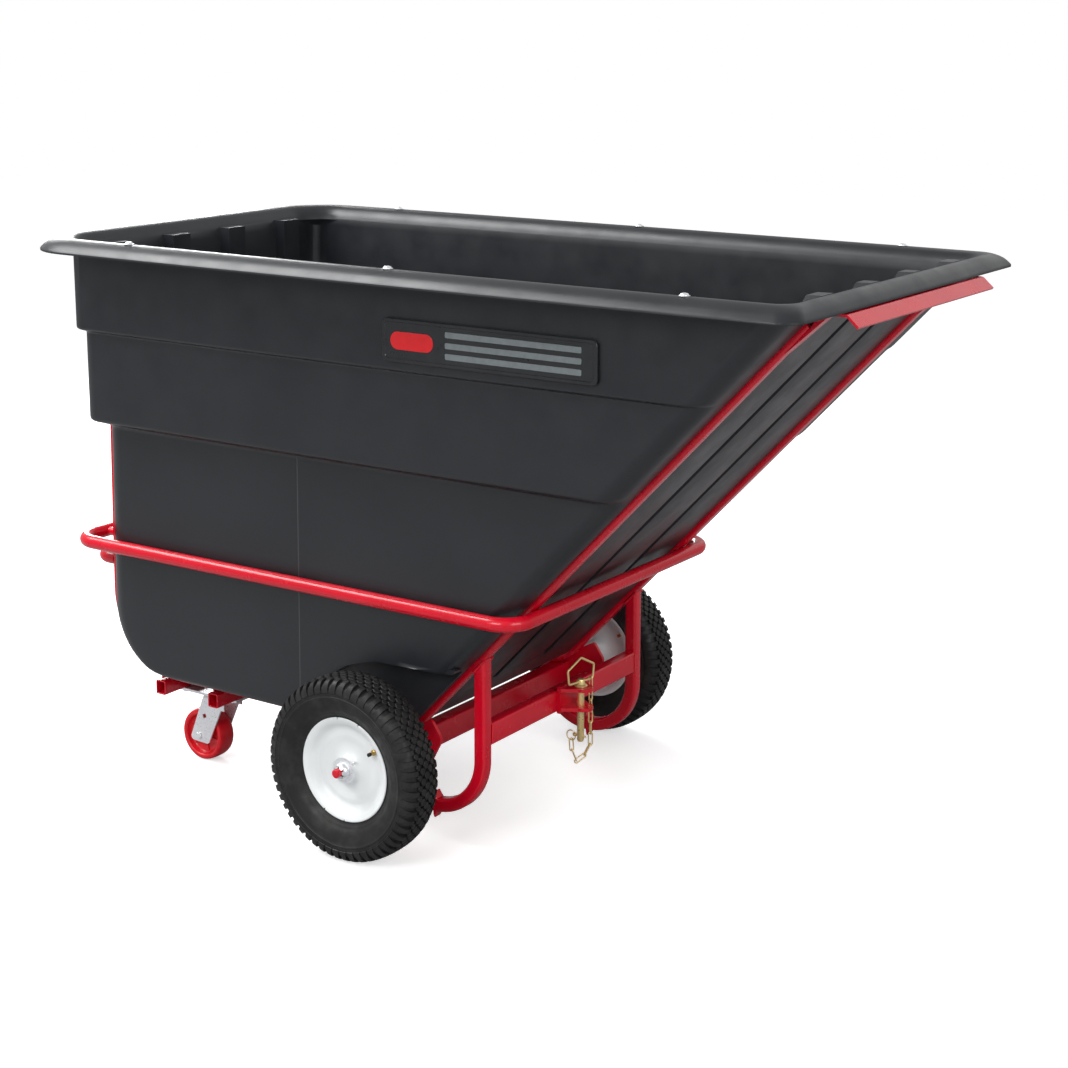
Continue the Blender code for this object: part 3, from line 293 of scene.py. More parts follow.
def wheel_plastic(name):
    s = Shade(name)
    colour = s.mix(s.patches(30, 4), (0.64, 0.0022, 0.01), (0.74, 0.004, 0.015))
    colour = s.mix(s.ramp(s.noise(150, 5, 0.7), 0.66, 0.8, 0, 0.35), colour, (0.25, 0.06, 0.05))
    s.bump(s.noise(300, 3), 0.12, 0.0004)
    return s.set(colour=colour, rough=s.patches(60, 3, 0.28, 0.42), sub=0.04)


def printed(name, colour, other):
    s = Shade(name)
    tone = s.mix(s.patches(60, 4), colour, other)
    s.bump(s.noise(800, 3), 0.12, 0.0003)
    return s.set(colour=tone, rough=s.patches(90, 3, 0.36, 0.48))


def turned_metal(name, colour, other, rough):
    s = Shade(name)
    tone = s.mix(s.patches(140, 4), colour, other)
    s.bump(s.noise(500, 3, 0.5, (1, 6, 1)), 0.12, 0.0002)
    return s.set(colour=tone, metal=1.0, rough=rough)


# Where the lower side walls bend at a crease; the tub plastic paints a lighter highlight line
# there.
CREASE_X = -0.231
PLASTIC = moulded_plastic("tub_plastic", (0.0095, 0.0112, 0.014), (0.014, 0.016, 0.0192), 0.37,
                          True)
BADGE = moulded_plastic("badge_plastic_fine", (0.015, 0.016, 0.018), (0.022, 0.023, 0.026), 0.32)
RED = powder_coat("red_gloss_coat")
TYRE = tyre_rubber("tyre_black")
WHITE = wheel_paint("wheel_white")
BRIGHT = zinc("zinc_bright", (0.88, 0.9, 0.92), (0.8, 0.82, 0.85), (0.93, 0.95, 0.97), 0.26, 0.72)
YELLOW = zinc("zinc_yellow", (0.94, 0.72, 0.3), (0.9, 0.74, 0.38), (0.92, 0.66, 0.34), 0.26, 0.72)
CASTER_RED = wheel_plastic("caster_red")
BRASS = turned_metal("valve_brass", (0.62, 0.42, 0.15), (0.48, 0.31, 0.1), 0.3)
STEEL = turned_metal("bearing_ground", (0.5, 0.5, 0.51), (0.42, 0.42, 0.43), 0.25)
CAP = tyre_rubber("valve_cap")
MARK_RED = printed("mark_red", (0.62, 0.008, 0.012), (0.55, 0.006, 0.01))
MARK_GREY = printed("mark_grey", (0.165, 0.19, 0.195), (0.135, 0.155, 0.16))

FINISH = {
    "black_plastic": PLASTIC, "badge_plastic": BADGE, "red_powder_coat": RED,
    "red_polyolefin": CASTER_RED, "tyre_rubber": TYRE, "white_wheel_paint": WHITE,
    "bright_zinc": BRIGHT, "yellow_zinc": YELLOW, "brass": BRASS, "bearing_steel": STEEL}
SLOT_OF = {mat.name: slot for slot, mat in FINISH.items()}
SLOT_OF.update({CAP.name: "tyre_rubber", MARK_RED.name: "red_powder_coat",
                MARK_GREY.name: "badge_plastic"})
for part in frame["record"]["subparts"]:
    mesh = NODES[part["node"]].data
    mesh.materials.clear()
    mesh.materials.append(FINISH[part["material_slot"]])


# ---- shape helpers
def loft(rings, closed=False):
    bm = bmesh.new()
    rows = [[bm.verts.new(p) for p in ring] for ring in rings]
    count = len(rows[0])
    last = len(rows) if closed else len(rows) - 1
    for i in range(last):
        a = rows[i]
        b = rows[(i + 1) % len(rows)]
        for j in range(count):
            k = (j + 1) % count
            bm.faces.new((a[j], a[k], b[k], b[j]))
    if not closed:
        bm.faces.new(rows[0][::-1])
        bm.faces.new(rows[-1])
    return bm


def lathe(profile, steps):
    """Turn a closed profile of (radius, along) points round the Y axis."""
    rings = []
    for i in range(steps):
        a = 2 * pi * i / steps
        rings.append([(r * cos(a), y, r * sin(a)) for r, y in profile])
    return loft(rings, closed=True)


def turned(profile, steps, axis="Z"):
    rings = []
    for r, y in profile:
        ring = []
        for i in range(steps):
            a = 2 * pi * i / steps
            c, s = r * cos(a), r * sin(a)
            ring.append({"X": (y, c, s), "Y": (c, y, s), "Z": (c, s, y)}[axis])
        rings.append(ring)
    return loft(rings)


def box(x0, x1, y0, y1, z0, z1):
    base = [(x0, y0), (x1, y0), (x1, y1), (x0, y1)]
    return loft([[(x, y, z0) for x, y in base], [(x, y, z1) for x, y in base]])


def prism_y(outline, y0, y1):
    return loft([[(x, y0, z) for x, z in outline], [(x, y1, z) for x, z in outline]])


def rounded(points, radii, steps=6, closed=False):
    """A polyline whose corners are replaced with arcs."""
    pts = [Vector(p) for p in points]
    out = []
    n = len(pts)
    for i in range(n):
        r = radii[i] if isinstance(radii, (list, tuple)) else radii
        if r <= 0 or (not closed and i in (0, n - 1)):
            out.append(pts[i])
            continue
        a = (pts[i - 1] - pts[i]).normalized()
        b = (pts[(i + 1) % n] - pts[i]).normalized()
        half = a.angle(b) / 2
        mid = (a + b).normalized()
        centre = pts[i] + mid * (r / sin(half))
        start = pts[i] + a * (r / tan(half)) - centre
        end = pts[i] + b * (r / tan(half)) - centre
        turn = pi - 2 * half
        for k in range(steps + 1):
            t = k / steps
            u = start * sin((1 - t) * turn) + end * sin(t * turn)
            out.append(centre + u / sin(turn))
    return out


def soften(points, spans, steps=4):
    """Round the corners of a path in any number of dimensions with short curves.
    spans gives, for each point, how far along the path the curve reaches."""
    out = [list(points[0])]
    for i in range(1, len(points) - 1):
        if spans[i] <= 0:
            out.append(list(points[i]))
            continue
        here = points[i]
        ends = []
        for other in (points[i - 1], points[i + 1]):
            far = sqrt(sum((o - h) ** 2 for o, h in zip(other, here)))
            share = min(0.48, spans[i] / far)
            ends.append([h + (o - h) * share for o, h in zip(other, here)])
        for k in range(steps + 1):
            t = k / steps
            out.append([(1 - t) ** 2 * a + 2 * t * (1 - t) * h + t ** 2 * b for a, h,
                        b in zip(ends[0], here, ends[1])])
    out.append(list(points[-1]))
    return out


def flow(points, steps, closed=False):
    """A smooth curve through points in any number of dimensions."""
    out = []
    n = len(points)
    for i in range(n if closed else n - 1):
        p1, p2 = points[i], points[(i + 1) % n]
        p0 = points[i - 1] if (closed or i > 0) else p1
        p3 = points[(i + 2) % n] if (closed or i < n - 2) else p2
        for k in range(steps):
            t = k / steps
            out.append([0.5 * (2 * b + (c - a) * t + (2 * a - 5 * b + 4 * c - d) * t * t
                               + (3 * b - 3 * c + d - a) * t ** 3)
                        for a, b, c, d in zip(p0, p1, p2, p3)])
    if not closed:
        out.append(list(points[-1]))
    return out


def sweep(path, section, side, closed=False, swell=None):
    """Carry a flat section along a path that lies in a plane with normal side."""
    side = Vector(side).normalized()
    path = [Vector(p) for p in path]
    n = len(path)
    rings = []
    for i, p in enumerate(path):
        before = path[i] - path[i - 1] if (closed or i > 0) else None
        after = path[(i + 1) % n] - path[i] if (closed or i < n - 1) else None
        stretch = 1.0
        if before is None:
            tangent = after.normalized()
        elif after is None:
            tangent = before.normalized()
        else:
            tangent = (before.normalized() + after.normalized()).normalized()
            stretch = 1.0 / max(0.5, tangent.dot(after.normalized()))
        normal = side.cross(tangent).normalized()
        grow = swell(i) if swell else 1.0
        rings.append([p + normal * (u * stretch * grow) + side * (v * grow) for u, v in section])
    return loft(rings, closed=closed)


def circle(r, steps):
    return [(r * cos(2 * pi * i / steps), r * sin(2 * pi * i / steps)) for i in range(steps)]


def rect(u, v, r, steps=4):
    corners = [(-u / 2, -v / 2), (u / 2, -v / 2), (u / 2, v / 2), (-u / 2, v / 2)]
    return [tuple(p)[:2] for p in rounded([(a, b, 0) for a, b in corners], r, steps, True)]


def thing(name, bm, mat, sharp=35):
    bmesh.ops.recalc_face_normals(bm, faces=bm.faces)
    mesh = bpy.data.meshes.new(name)
    bm.to_mesh(mesh)
    bm.free()
    mesh.shade_smooth()
    mesh.set_sharp_from_angle(angle=radians(sharp))
    made = bpy.data.objects.new(name, mesh)
    bpy.context.scene.collection.objects.link(made)
    if mat:
        mesh.materials.append(mat)
    return made


def bevel(made, width, steps=2, angle=35):
    mod = made.modifiers.new("edge", "BEVEL")
    mod.width = width
    mod.segments = steps
    mod.limit_method = "ANGLE"
    mod.angle_limit = radians(angle)
    mod.harden_normals = False
    return made


def cut(target, tools, operation):
    """Apply one exact Boolean with a list of closed tool meshes, then drop the tools."""
    bm = bmesh.new()
    for tool in tools:
        scratch = bpy.data.meshes.new("scratch")
        bmesh.ops.recalc_face_normals(tool, faces=tool.faces)
        tool.to_mesh(scratch)
        tool.free()
        bm.from_mesh(scratch)
        bpy.data.meshes.remove(scratch)
    mesh = bpy.data.meshes.new("tool")
    bm.to_mesh(mesh)
    bm.free()
    helper = bpy.data.objects.new("tool", mesh)
    bpy.context.scene.collection.objects.link(helper)
    mod = target.modifiers.new("cut", "BOOLEAN")
    mod.operation = operation
    mod.solver = "EXACT"
    mod.object = helper
    settle(target)
    bpy.data.objects.remove(helper)
    bpy.data.meshes.remove(mesh)


def settle(target):
    """Bake the modifiers of one object into its mesh."""
    bpy.context.view_layer.update()
    seen = target.evaluated_get(bpy.context.evaluated_depsgraph_get())
    mesh = bpy.data.meshes.new_from_object(seen)
    target.modifiers.clear()
    old = target.data
    target.data = mesh
    bpy.data.meshes.remove(old)


def place(made, body, offset=(0, 0, 0), stands_for=None, turn=None):
    """Move a piece laid out from the axle to the row frame and hang it on a CAD body."""
    made.location = Vector(offset) + Vector((AXLE_X, 0, 0))
    if turn:
        made.rotation_euler = turn
    bpy.context.view_layer.update()
    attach(made, body)
    if stands_for:
        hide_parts(stands_for)
    return made


def slope_x(z, depth=0.0):
    return SLOPE_X0 + z / TAN - depth / sin(SLOPE)


def slope_point(z, y, out):
    return Vector((slope_x(z), y, z)) + SLOPE_OUT * out


# ---- hopper skin
NOSE_CX = slope_x(FLOOR_Z) - NOSE_BEND * tan(SLOPE / 2)
RIM_MID = (RIM_REAR + RIM_FRONT) / 2
RIM_REACH = (RIM_FRONT - RIM_REAR) / 2
ARC = 10
SIDE = 18


def outline(x_back, x_front, half, z, r, bow, front_r=None):
    """A level ring round the hopper, its long sides bowed."""
    pts = []
    f = r if front_r is None else front_r
    for cx, cy, a0, bend in ((x_front - f, half - f, 0, f), (x_back + r, half - r, 90, r),
                             (x_back + r, -half + r, 180, r), (x_front - f, -half + f, 270, f)):
        for k in range(ARC + 1):
            a = radians(a0 + 90 * k / ARC)
            pts.append((cx + bend * cos(a), cy + bend * sin(a)))
        if a0 in (0, 180):
            sign = 1 if a0 == 0 else -1
            start, stop = pts[-1][0], (x_back + r if a0 == 0 else x_front - f)
            for k in range(1, SIDE):
                pts.append((start + (stop - start) * k / SIDE, sign * half))
    out = []
    for x, y in pts:
        reach = 1 - ((x - RIM_MID) / RIM_REACH) ** 2
        fade = min(1.0, abs(y) / half) ** 8
        out.append((x, y + copysign(bow * max(0.0, reach) * fade, y), z))
    return out


def body_ring(z, depth=0.0):
    bottom = FLOOR_Z + depth
    half = RIM_HALF - SIDE_IN - depth
    back = RIM_REAR + BACK_IN + depth
    bend = BACK_BEND - depth
    rise = bottom + bend - z
    if rise > 0:
        back = back + bend - sqrt(max(0.0, bend ** 2 - rise ** 2))
    rise = bottom + SIDE_BEND - z
    if rise > 0:
        half = half - SIDE_BEND + sqrt(max(0.0, SIDE_BEND ** 2 - rise ** 2))
    front = slope_x(z, depth)
    nose = NOSE_BEND - depth
    rise = FLOOR_Z + NOSE_BEND - z
    if rise > nose * cos(SLOPE):
        front = NOSE_CX + sqrt(max(0.0, nose ** 2 - rise ** 2))
    return outline(back, front, half, z, LOW_CORNER - depth, 0.0, BODY_CORNER - depth)


def wall_rings(depth):
    """The bands between the lower body and the rim, their steps softened as moulded ones are."""
    lift = WALL if depth else 0.0
    path = [(SIDE_IN, BACK_IN, 0, FLOOR_Z + BACK_BEND + 0.01, LOW_CORNER),
            (SIDE_IN, BACK_IN, 0, STEP2_Z - 0.01 - lift * 0.6, LOW_CORNER),
            (BAND2_IN + 0.001, BAND2_IN + 0.001, RIM_BOW, STEP2_Z + 0.003 - lift * 0.2,
             BODY_CORNER),
            (BAND2_IN - 0.001, BAND2_IN - 0.001, RIM_BOW, STEP1_Z - 0.004 - lift * 0.3,
             BODY_CORNER),
            (BAND1_IN + 0.002, BAND1_IN + 0.002, RIM_BOW, STEP1_Z + 0.002 - lift * 0.1,
             BODY_CORNER),
            (BAND1_IN, BAND1_IN, RIM_BOW, RIM_LOW - (0.02 if depth else 0.006), BODY_CORNER)]
    rings = []
    for side_in, back_in, bow, z, r in soften(path, (0, 0.012, 0.009, 0.005, 0.006, 0), 5):
        rings.append(outline(RIM_REAR + back_in + depth, slope_x(z, depth),
                             RIM_HALF - side_in - depth, z, r - depth, bow, BODY_CORNER - depth))
    return rings


def rim_rings():
    top = RIM_LOW + RIM_RISE
    path = [(0.0925, RIM_LOW - 0.004), (0.085, RIM_LOW + 0.012), (0.07, top - 0.0045),
            (RIM_RIDGE, top), (0.034, top - 0.0025), (0.016, top - 0.011),
            (0.004, RIM_LOW + 0.009), (0.0, RIM_LOW + 0.004)]
    under = [(0.0, RIM_LOW), (0.006, RIM_LOW), (0.012, RIM_LOW + 0.008), (0.03, RIM_LOW + 0.018),
             (RIM_RIDGE, top - 0.009), (0.072, RIM_LOW + 0.011)]
    over = (RIM_FRONT - slope_x(RIM_LOW - 0.005)) / BAND1_IN
    rings = []
    for inwards, z in flow(path, 4) + under:
        r = max(BODY_CORNER - WALL, RIM_CORNER - inwards * 0.9)
        rings.append(outline(RIM_REAR + inwards, RIM_FRONT - inwards * over, RIM_HALF - inwards, z,
                             r, RIM_BOW, RIM_CORNER_FRONT))
    return rings


def low_levels(depth):
    bottom = FLOOR_Z + depth
    out = [bottom + SIDE_BEND * (1 - cos(radians(a))) for a in (0, 20, 40, 60, 75, 90)]
    bend = BACK_BEND - depth
    for a in (34, 40, 46, 52, 58, 64, 70, 76, 83, 90):
        out.append(bottom + bend * (1 - cos(radians(a))))
    return out


def slope_bar(y, half, out0, out1, z0, z1, shift=0.0, taper=0.0):
    low = slope_point(z0, y, 0) + SLOPE_UP * shift
    high = slope_point(z1, y, 0)
    rings = []
    for p in (low, high):
        rings.append([p + SLOPE_OUT * o + Vector((0, h, 0)) for o, h in
                      ((out0, -half + taper), (out0, half - taper), (out1, half), (out1, -half))])
    return loft(rings)


RAIL_LOW = FLOOR_Z - GAP - RAIL_D / 2
RAIL_TOP = 1.24
RAIL_END_Z = 1.23
CHANNEL_END_Z = 1.234
RIB_SLOT_HALF = 0.016
RAIL_OUT = RAIL_PROUD - RAIL_D / 2
rail_top = slope_point(RAIL_END_Z, 0, RAIL_OUT)
rail_corner_x = slope_x(RAIL_LOW) + RAIL_OUT / sin(SLOPE)
HALF_CH = RAIL_W / 2 + 0.006
channel_ys = (-RAIL_Y, -RIB_Y, RIB_Y, RAIL_Y)


def build_hopper():
    rings = [body_ring(z, WALL) for z in low_levels(WALL)] + wall_rings(WALL) + rim_rings()
    rings += wall_rings(0.0)[::-1] + [body_ring(z) for z in reversed(low_levels(0.0))]
    skin = thing("hopper_skin", loft(rings), PLASTIC)
    extra = []
    for y in channel_ys:
        extra.append(box(RIM_REAR + BAND1_IN + 0.003, CHANNEL_IN + WALL, y - HALF_CH - WALL,
                         y + HALF_CH + WALL, STEP2_Z - 0.0035, RIM_LOW + 0.004))
        outer = abs(y) > RIB_Y
        half, shift, taper = (HALF_CH, -0.0185, 0.0) if outer else (RIB_SLOT_HALF, 0.03, 0.004)
        extra.append(slope_bar(y, half + WALL, -CHANNEL_DEEP - WALL, -0.005, 0.262, RIM_LOW - 0.012,
                               shift, taper))
    top = RIM_LOW + RIM_RISE
    hump = ((RIM_FRONT - 0.045, top - 0.0065), (RIM_FRONT - 0.0475, top - 0.001),
            (RIM_FRONT - 0.08, top - 0.002), (RIM_FRONT - 0.108, RIM_LOW - 0.028),
            (RIM_FRONT - 0.0845, RIM_LOW - 0.025), (RIM_FRONT - 0.054, RIM_LOW + 0.014))
    for y in channel_ys:
        half = (HALF_CH if abs(y) > RIB_Y else RIB_SLOT_HALF) + WALL + 0.0035
        rings = []
        for s in (-1, 1):
            rings.append([(x, y + s * (half - (0.01 if k in (1, 2) else 0)), z) for k,
                          (x, z) in enumerate(hump)])
        extra.append(loft(rings))
    for side in (-1, 1):
        inner = ((-0.243, FLOOR_Z + 0.0065), (-0.243, 0.303), (-0.095, 0.392), (-0.021, 0.413),
                 (slope_x(0.4215, 0.004), 0.4215), (slope_x(0.275, 0.004), 0.275),
                 (0.03, FLOOR_Z + 0.0115), (0.01, FLOOR_Z + 0.0065))
        extra.append(prism_y(inner, *sorted((side * 0.344, side * 0.3846))))
    for one in extra:
        cut(skin, [one], "UNION")
    slots = []
    for y in channel_ys:
        slots.append(box(RIM_REAR - 0.02, CHANNEL_IN, y - HALF_CH, y + HALF_CH, STEP2_Z - 0.055,
                         RIM_LOW - 0.006))
    for side in (-1, 1):
        y = side * RAIL_Y
        well = ((-0.235, 0.16), (-0.235, 0.298), (-0.092, 0.384), (-0.02, 0.405),
                (0.33, 0.414), (0.33, 0.16))
        arch = rounded([(a, 0, b) for a, b in well], [0, 0.05, 0.12, 0.15, 0, 0], 6, True)
        slots.append(prism_y([(p.x, p.z) for p in arch], *sorted((side * 0.352, side * 0.48))))
        start = Vector((-0.06, y, RAIL_LOW))
        path = [start] + rounded([start, (rail_corner_x, y, RAIL_LOW),
                                  slope_point(CHANNEL_END_Z, y, RAIL_OUT)], [0, 0.1, 0], 14)[1:]
        inner = CHANNEL_DEEP + RAIL_OUT
        section = [(-0.045, -HALF_CH), (inner, -HALF_CH), (inner, HALF_CH), (-0.045, HALF_CH)]
        slots.append(sweep(path, section, (0, -1, 0)))
        slots.append(slope_bar(side * RIB_Y, RIB_SLOT_HALF, -CHANNEL_DEEP, 0.03, 0.31,
                               CHANNEL_END_Z, 0.0, 0.006))
    cut(skin, slots, "DIFFERENCE")
    bevel(skin, 0.003, 3, 38)
    return skin


hopper = build_hopper()
place(hopper, "cart", stands_for="hopper")

# ---- red tube frame
def rail_path(y):
    pts = [(RAIL_BACK, y, RAIL_TOP), (RAIL_BACK, y, RAIL_LOW), (rail_corner_x, y, RAIL_LOW),
           (rail_top.x, y, rail_top.z)]
    return rounded(pts, [0, 0.19, 0.1, 0], 20)


for name, side in SIDES:
    bm = sweep(rail_path(side * RAIL_Y), rect(RAIL_D, RAIL_W, 0.0055, 5), (0, -1, 0))
    place(thing(f"rail_tube_{name}", bm, RED), "cart", stands_for=f"cradle_rail_{name}")

ring_x = slope_x(RING_Z) + (RAIL_PROUD + RING_R + 2 * GAP) / sin(SLOPE)
corners = [(ring_x, -RING_Y, RING_Z), (ring_x, RING_Y, RING_Z), (RING_BACK, RING_Y, RING_Z),
           (RING_BACK, -RING_Y, RING_Z)]
ring = thing("ring_tube", sweep(rounded(corners, RING_CORNER, 16, True), circle(RING_R, 28),
                                (0, 0, 1), closed=True), RED)
place(ring, "cart", stands_for="bumper_ring")
back_face = RAIL_BACK - RAIL_D / 2
for name, side in SIDES:
    stub = turned([(0.0102, RING_BACK + 0.002), (0.0102, back_face)], 24, "X")
    place(thing(f"ring_standoff_{name}", stub, RED), "cart", (0, side * RAIL_Y, RING_Z))

pts = [(back_face, -RAIL_Y, HANDLE_Z), (HANDLE_BACK, -RAIL_Y, HANDLE_Z),
       (HANDLE_BACK, RAIL_Y, HANDLE_Z), (back_face, RAIL_Y, HANDLE_Z)]
bar = thing("handle_tube", sweep(rounded(pts, 0.04, 14), circle(RING_R, 28), (0, 0, 1)), RED)
place(bar, "cart", stands_for="rear_handle_bar")

BEAM_TOP = RAIL_LOW - RAIL_D / 2 - GAP
BEAM_Z = BEAM_TOP - BEAM_H / 2


def tube_y(name, node, cx, cz, w, h, wall, half, r=0.006):
    outer = rect(w, h, r, 5)
    inner = rect(w - 2 * wall, h - 2 * wall, max(r - wall, 0.0015), 5)
    rings = [[(cx + u, -half, cz + v) for u, v in outer],
             [(cx + u, half, cz + v) for u, v in outer], [(cx + u, half, cz + v) for u, v in inner],
             [(cx + u, -half, cz + v) for u, v in inner]]
    made = bevel(thing(name, loft(rings, closed=True), RED), 0.0007, 2, 60)
    return place(made, "cart", stands_for=node)


tube_y("beam_tube", "axle_beam", 0, BEAM_Z, BEAM_D, BEAM_H, 0.004, BEAM_HALF)
tube_y("bar_tube", "front_bar", GUARD_X, BAR_TOP - BAR_H / 2, GUARD_T, BAR_H, 0.003,
       size("front_bar").y / 2)
for name in ("rear", "front"):
    node = f"caster_crossmember_{name}"
    spot, span = middle(node), size(node)
    tube_y(f"crossmember_{name}", node, spot.x - AXLE_X, spot.z, span.x, span.z, 0.003, span.y / 2,
           0.004)

guard_low_z = GUARD_LOW + GUARD_T / 2
for name, side in SIDES:
    y = side * RAIL_Y
    top_z = (GUARD_X - SLOPE_X0) * TAN + 0.03
    pts = [(GUARD_X, y, top_z), (GUARD_X, y, guard_low_z),
           (GUARD_X - 2 * GUARD_BEND, y, guard_low_z),
           (GUARD_X - 2 * GUARD_BEND, y, guard_low_z + GUARD_BEND + 0.02)]
    tube = thing(f"guard_tube_{name}", sweep(rounded(pts, [0, GUARD_BEND, GUARD_BEND, 0], 20),
                                             rect(GUARD_T, GUARD_T, 0.0065, 5), (0, 1, 0)), RED)
    low_edge = slope_point(0.2, y, RAIL_PROUD + 0.0005)
    high_edge = slope_point(0.7, y, RAIL_PROUD + 0.0005)
    wedge = [[(low_edge.x, v, low_edge.z), (high_edge.x, v, high_edge.z),
              (low_edge.x - 0.1, v, high_edge.z + 0.1)] for v in (y - 0.05, y + 0.05)]
    cut(tube, [loft(wedge)], "DIFFERENCE")
    cut(tube, [box(-0.12, 0.05, y - 0.05, y + 0.05, BEAM_Z - BEAM_H / 2 - GAP, 0.3)], "DIFFERENCE")
    place(tube, "cart", stands_for=f"front_guard_{name}")


# ---- weld beads
BEAD_STEP = 0.0011
CROSSMEMBER_X = {"rear": -0.7105, "front": -0.5425}
CROSSMEMBER_EDGE = 0.015
UP = (0, 0, 1)


def ripple(i):
    return 1.0 + 0.16 * sin(i * 2.1) + 0.05 * sin(i * 0.7)


def bead(name, a, b, side=UP, r=0.0028):
    """A rippled fillet of weld laid straight from a to b."""
    a, b = Vector(a), Vector(b)
    steps = max(8, int((b - a).length / BEAD_STEP))
    path = [tuple(a.lerp(b, k / steps)) for k in range(steps + 1)]
    place(thing(name, sweep(path, circle(r, 8), side, False, ripple), RED, 80), "cart")


for name, side in SIDES:
    y = side * RAIL_Y
    edge = GUARD_T / 2
    foot_z = BEAM_Z - BEAM_H / 2
    foot_x = GUARD_X - 2 * GUARD_BEND + 0.0005
    near, far = y - edge, y + edge
    left, right = foot_x - edge, foot_x + edge
    for tag, x0, y0, x1, y1 in (("a", left, near, right, near), ("b", left, far, right, far),
                                ("c", left, near, left, far), ("d", right, near, right, far)):
        bead(f"weld_guard_foot_{name}_{tag}", (x0, y0, foot_z - 0.001), (x1, y1, foot_z - 0.001))
    inner = y - side * edge - side * 0.0005
    bead(f"weld_bar_{name}_a", (GUARD_X - edge + 0.004, inner, BAR_TOP),
         (GUARD_X + edge - 0.004, inner, BAR_TOP))
    bead(f"weld_bar_{name}_b", (GUARD_X + edge, inner, BAR_TOP - 0.004),
         (GUARD_X + edge, inner, BAR_TOP - BAR_H + 0.004), (1, 0, 0))
    for tag, v in (("in", -1), ("out", 1)):
        drop = RAIL_PROUD / cos(SLOPE)
        low, high = [(x, y + v * edge, (x - SLOPE_X0) * TAN - drop - 0.001)
                     for x in (GUARD_X - edge, GUARD_X + edge)]
        bead(f"weld_guard_top_{name}_{tag}", low, high, (0, 1, 0), 0.003)
        across = RAIL_W / 2
        low, high = [slope_point(z, y + v * across * 0.5,
                                 RAIL_PROUD + 0.004) + Vector((0, v * 0.006, 0))
                     for z in (RING_Z - 0.016, RING_Z + 0.01)]
        bead(f"weld_ring_{name}_{tag}", low, high, (0, 1, 0), 0.0026)
    for tag, z in (("up", HANDLE_Z + RING_R), ("down", HANDLE_Z - RING_R)):
        bead(f"weld_handle_{name}_{tag}", (back_face - 0.001, y - 0.01, z),
             (back_face - 0.001, y + 0.01, z))
    start, stop = y - RAIL_W / 2 + 0.004, y + RAIL_W / 2 - 0.004
    for tag, x in (("front", BEAM_D / 2), ("back", -BEAM_D / 2)):
        bead(f"weld_rail_{name}_{tag}", (x, start, BEAM_TOP), (x, stop, BEAM_TOP))
    for tag, at in CROSSMEMBER_X.items():
        for k, x in (("a", at - CROSSMEMBER_EDGE), ("b", at + CROSSMEMBER_EDGE)):
            bead(f"weld_cross_{name}_{tag}_{k}", (x, start, BEAM_TOP), (x, stop, BEAM_TOP), UP,
                 0.0026)

# ---- tyres
SEAT_R = 0.1016
CARCASS = 0.0052
LUGS = 56
BLOCK_SIDES = 6


def crown(y):
    """Radius of the tread face at a distance y from the tyre's middle."""
    return WHEEL_R - 2.2 * y * y


def tread_block(bm, around, y, half_a, half_y):
    """One raised block: a stretched hexagon standing on the carcass."""
    rings = []
    for grow, lift in ((1.06, -CARCASS), (1.0, -0.0012), (0.86, 0.0)):
        ring = []
        for k in range(BLOCK_SIDES):
            a = 2 * pi * (k + 0.5) / BLOCK_SIDES
            u = half_a * 1.15 * cos(a) * grow
            v = y + half_y * 1.15 * sin(a) * grow
            r = crown(v) + lift
            angle = around + u / WHEEL_R
            ring.append(bm.verts.new((r * cos(angle), v, r * sin(angle))))
        rings.append(ring)
    for low, high in zip(rings, rings[1:]):
        for k in range(BLOCK_SIDES):
            n = (k + 1) % BLOCK_SIDES
            bm.faces.new((low[k], low[n], high[n], high[k]))
    bm.faces.new(rings[-1])
    bm.faces.new(rings[0][::-1])


def shoulder_lug(bm, around, s, pitch):
    """A lug from the tread's edge down over the shoulder, wider towards the sidewall."""
    stations = [
        (0.0275, crown(0.0275), 0.26, 0.0052), (0.036, crown(0.036) - 0.0006, 0.27, 0.006),
        (0.0425, 0.1965, 0.28, 0.0068), (0.0478, 0.19, 0.32, 0.0066), (0.0512, 0.182, 0.38, 0.005),
        (0.0532, 0.1742, 0.46, 0.0024)]
    rows = []
    for i, (y, r, share, deep) in enumerate(stations):
        half = share * pitch
        lean = 0.12 * pitch * (i / 5)
        inward = Vector((y, r)) - Vector((0.018, 0.15))
        inward = -inward.normalized() * deep
        row = []
        for u, d in ((-half, 1), (-half * 0.88, 0), (half * 0.88, 0), (half, 1)):
            yy = y + inward.x * d
            rr = r + inward.y * d
            angle = around + (u + lean) / WHEEL_R
            row.append(bm.verts.new((rr * cos(angle), s * yy, rr * sin(angle))))
        rows.append(row)
    for a, b in zip(rows, rows[1:]):
        for k in range(3):
            bm.faces.new((a[k], a[k + 1], b[k + 1], b[k]))
        bm.faces.new((a[3], a[0], b[0], b[3]))
    bm.faces.new(rows[0][::-1])
    bm.faces.new(rows[-1])


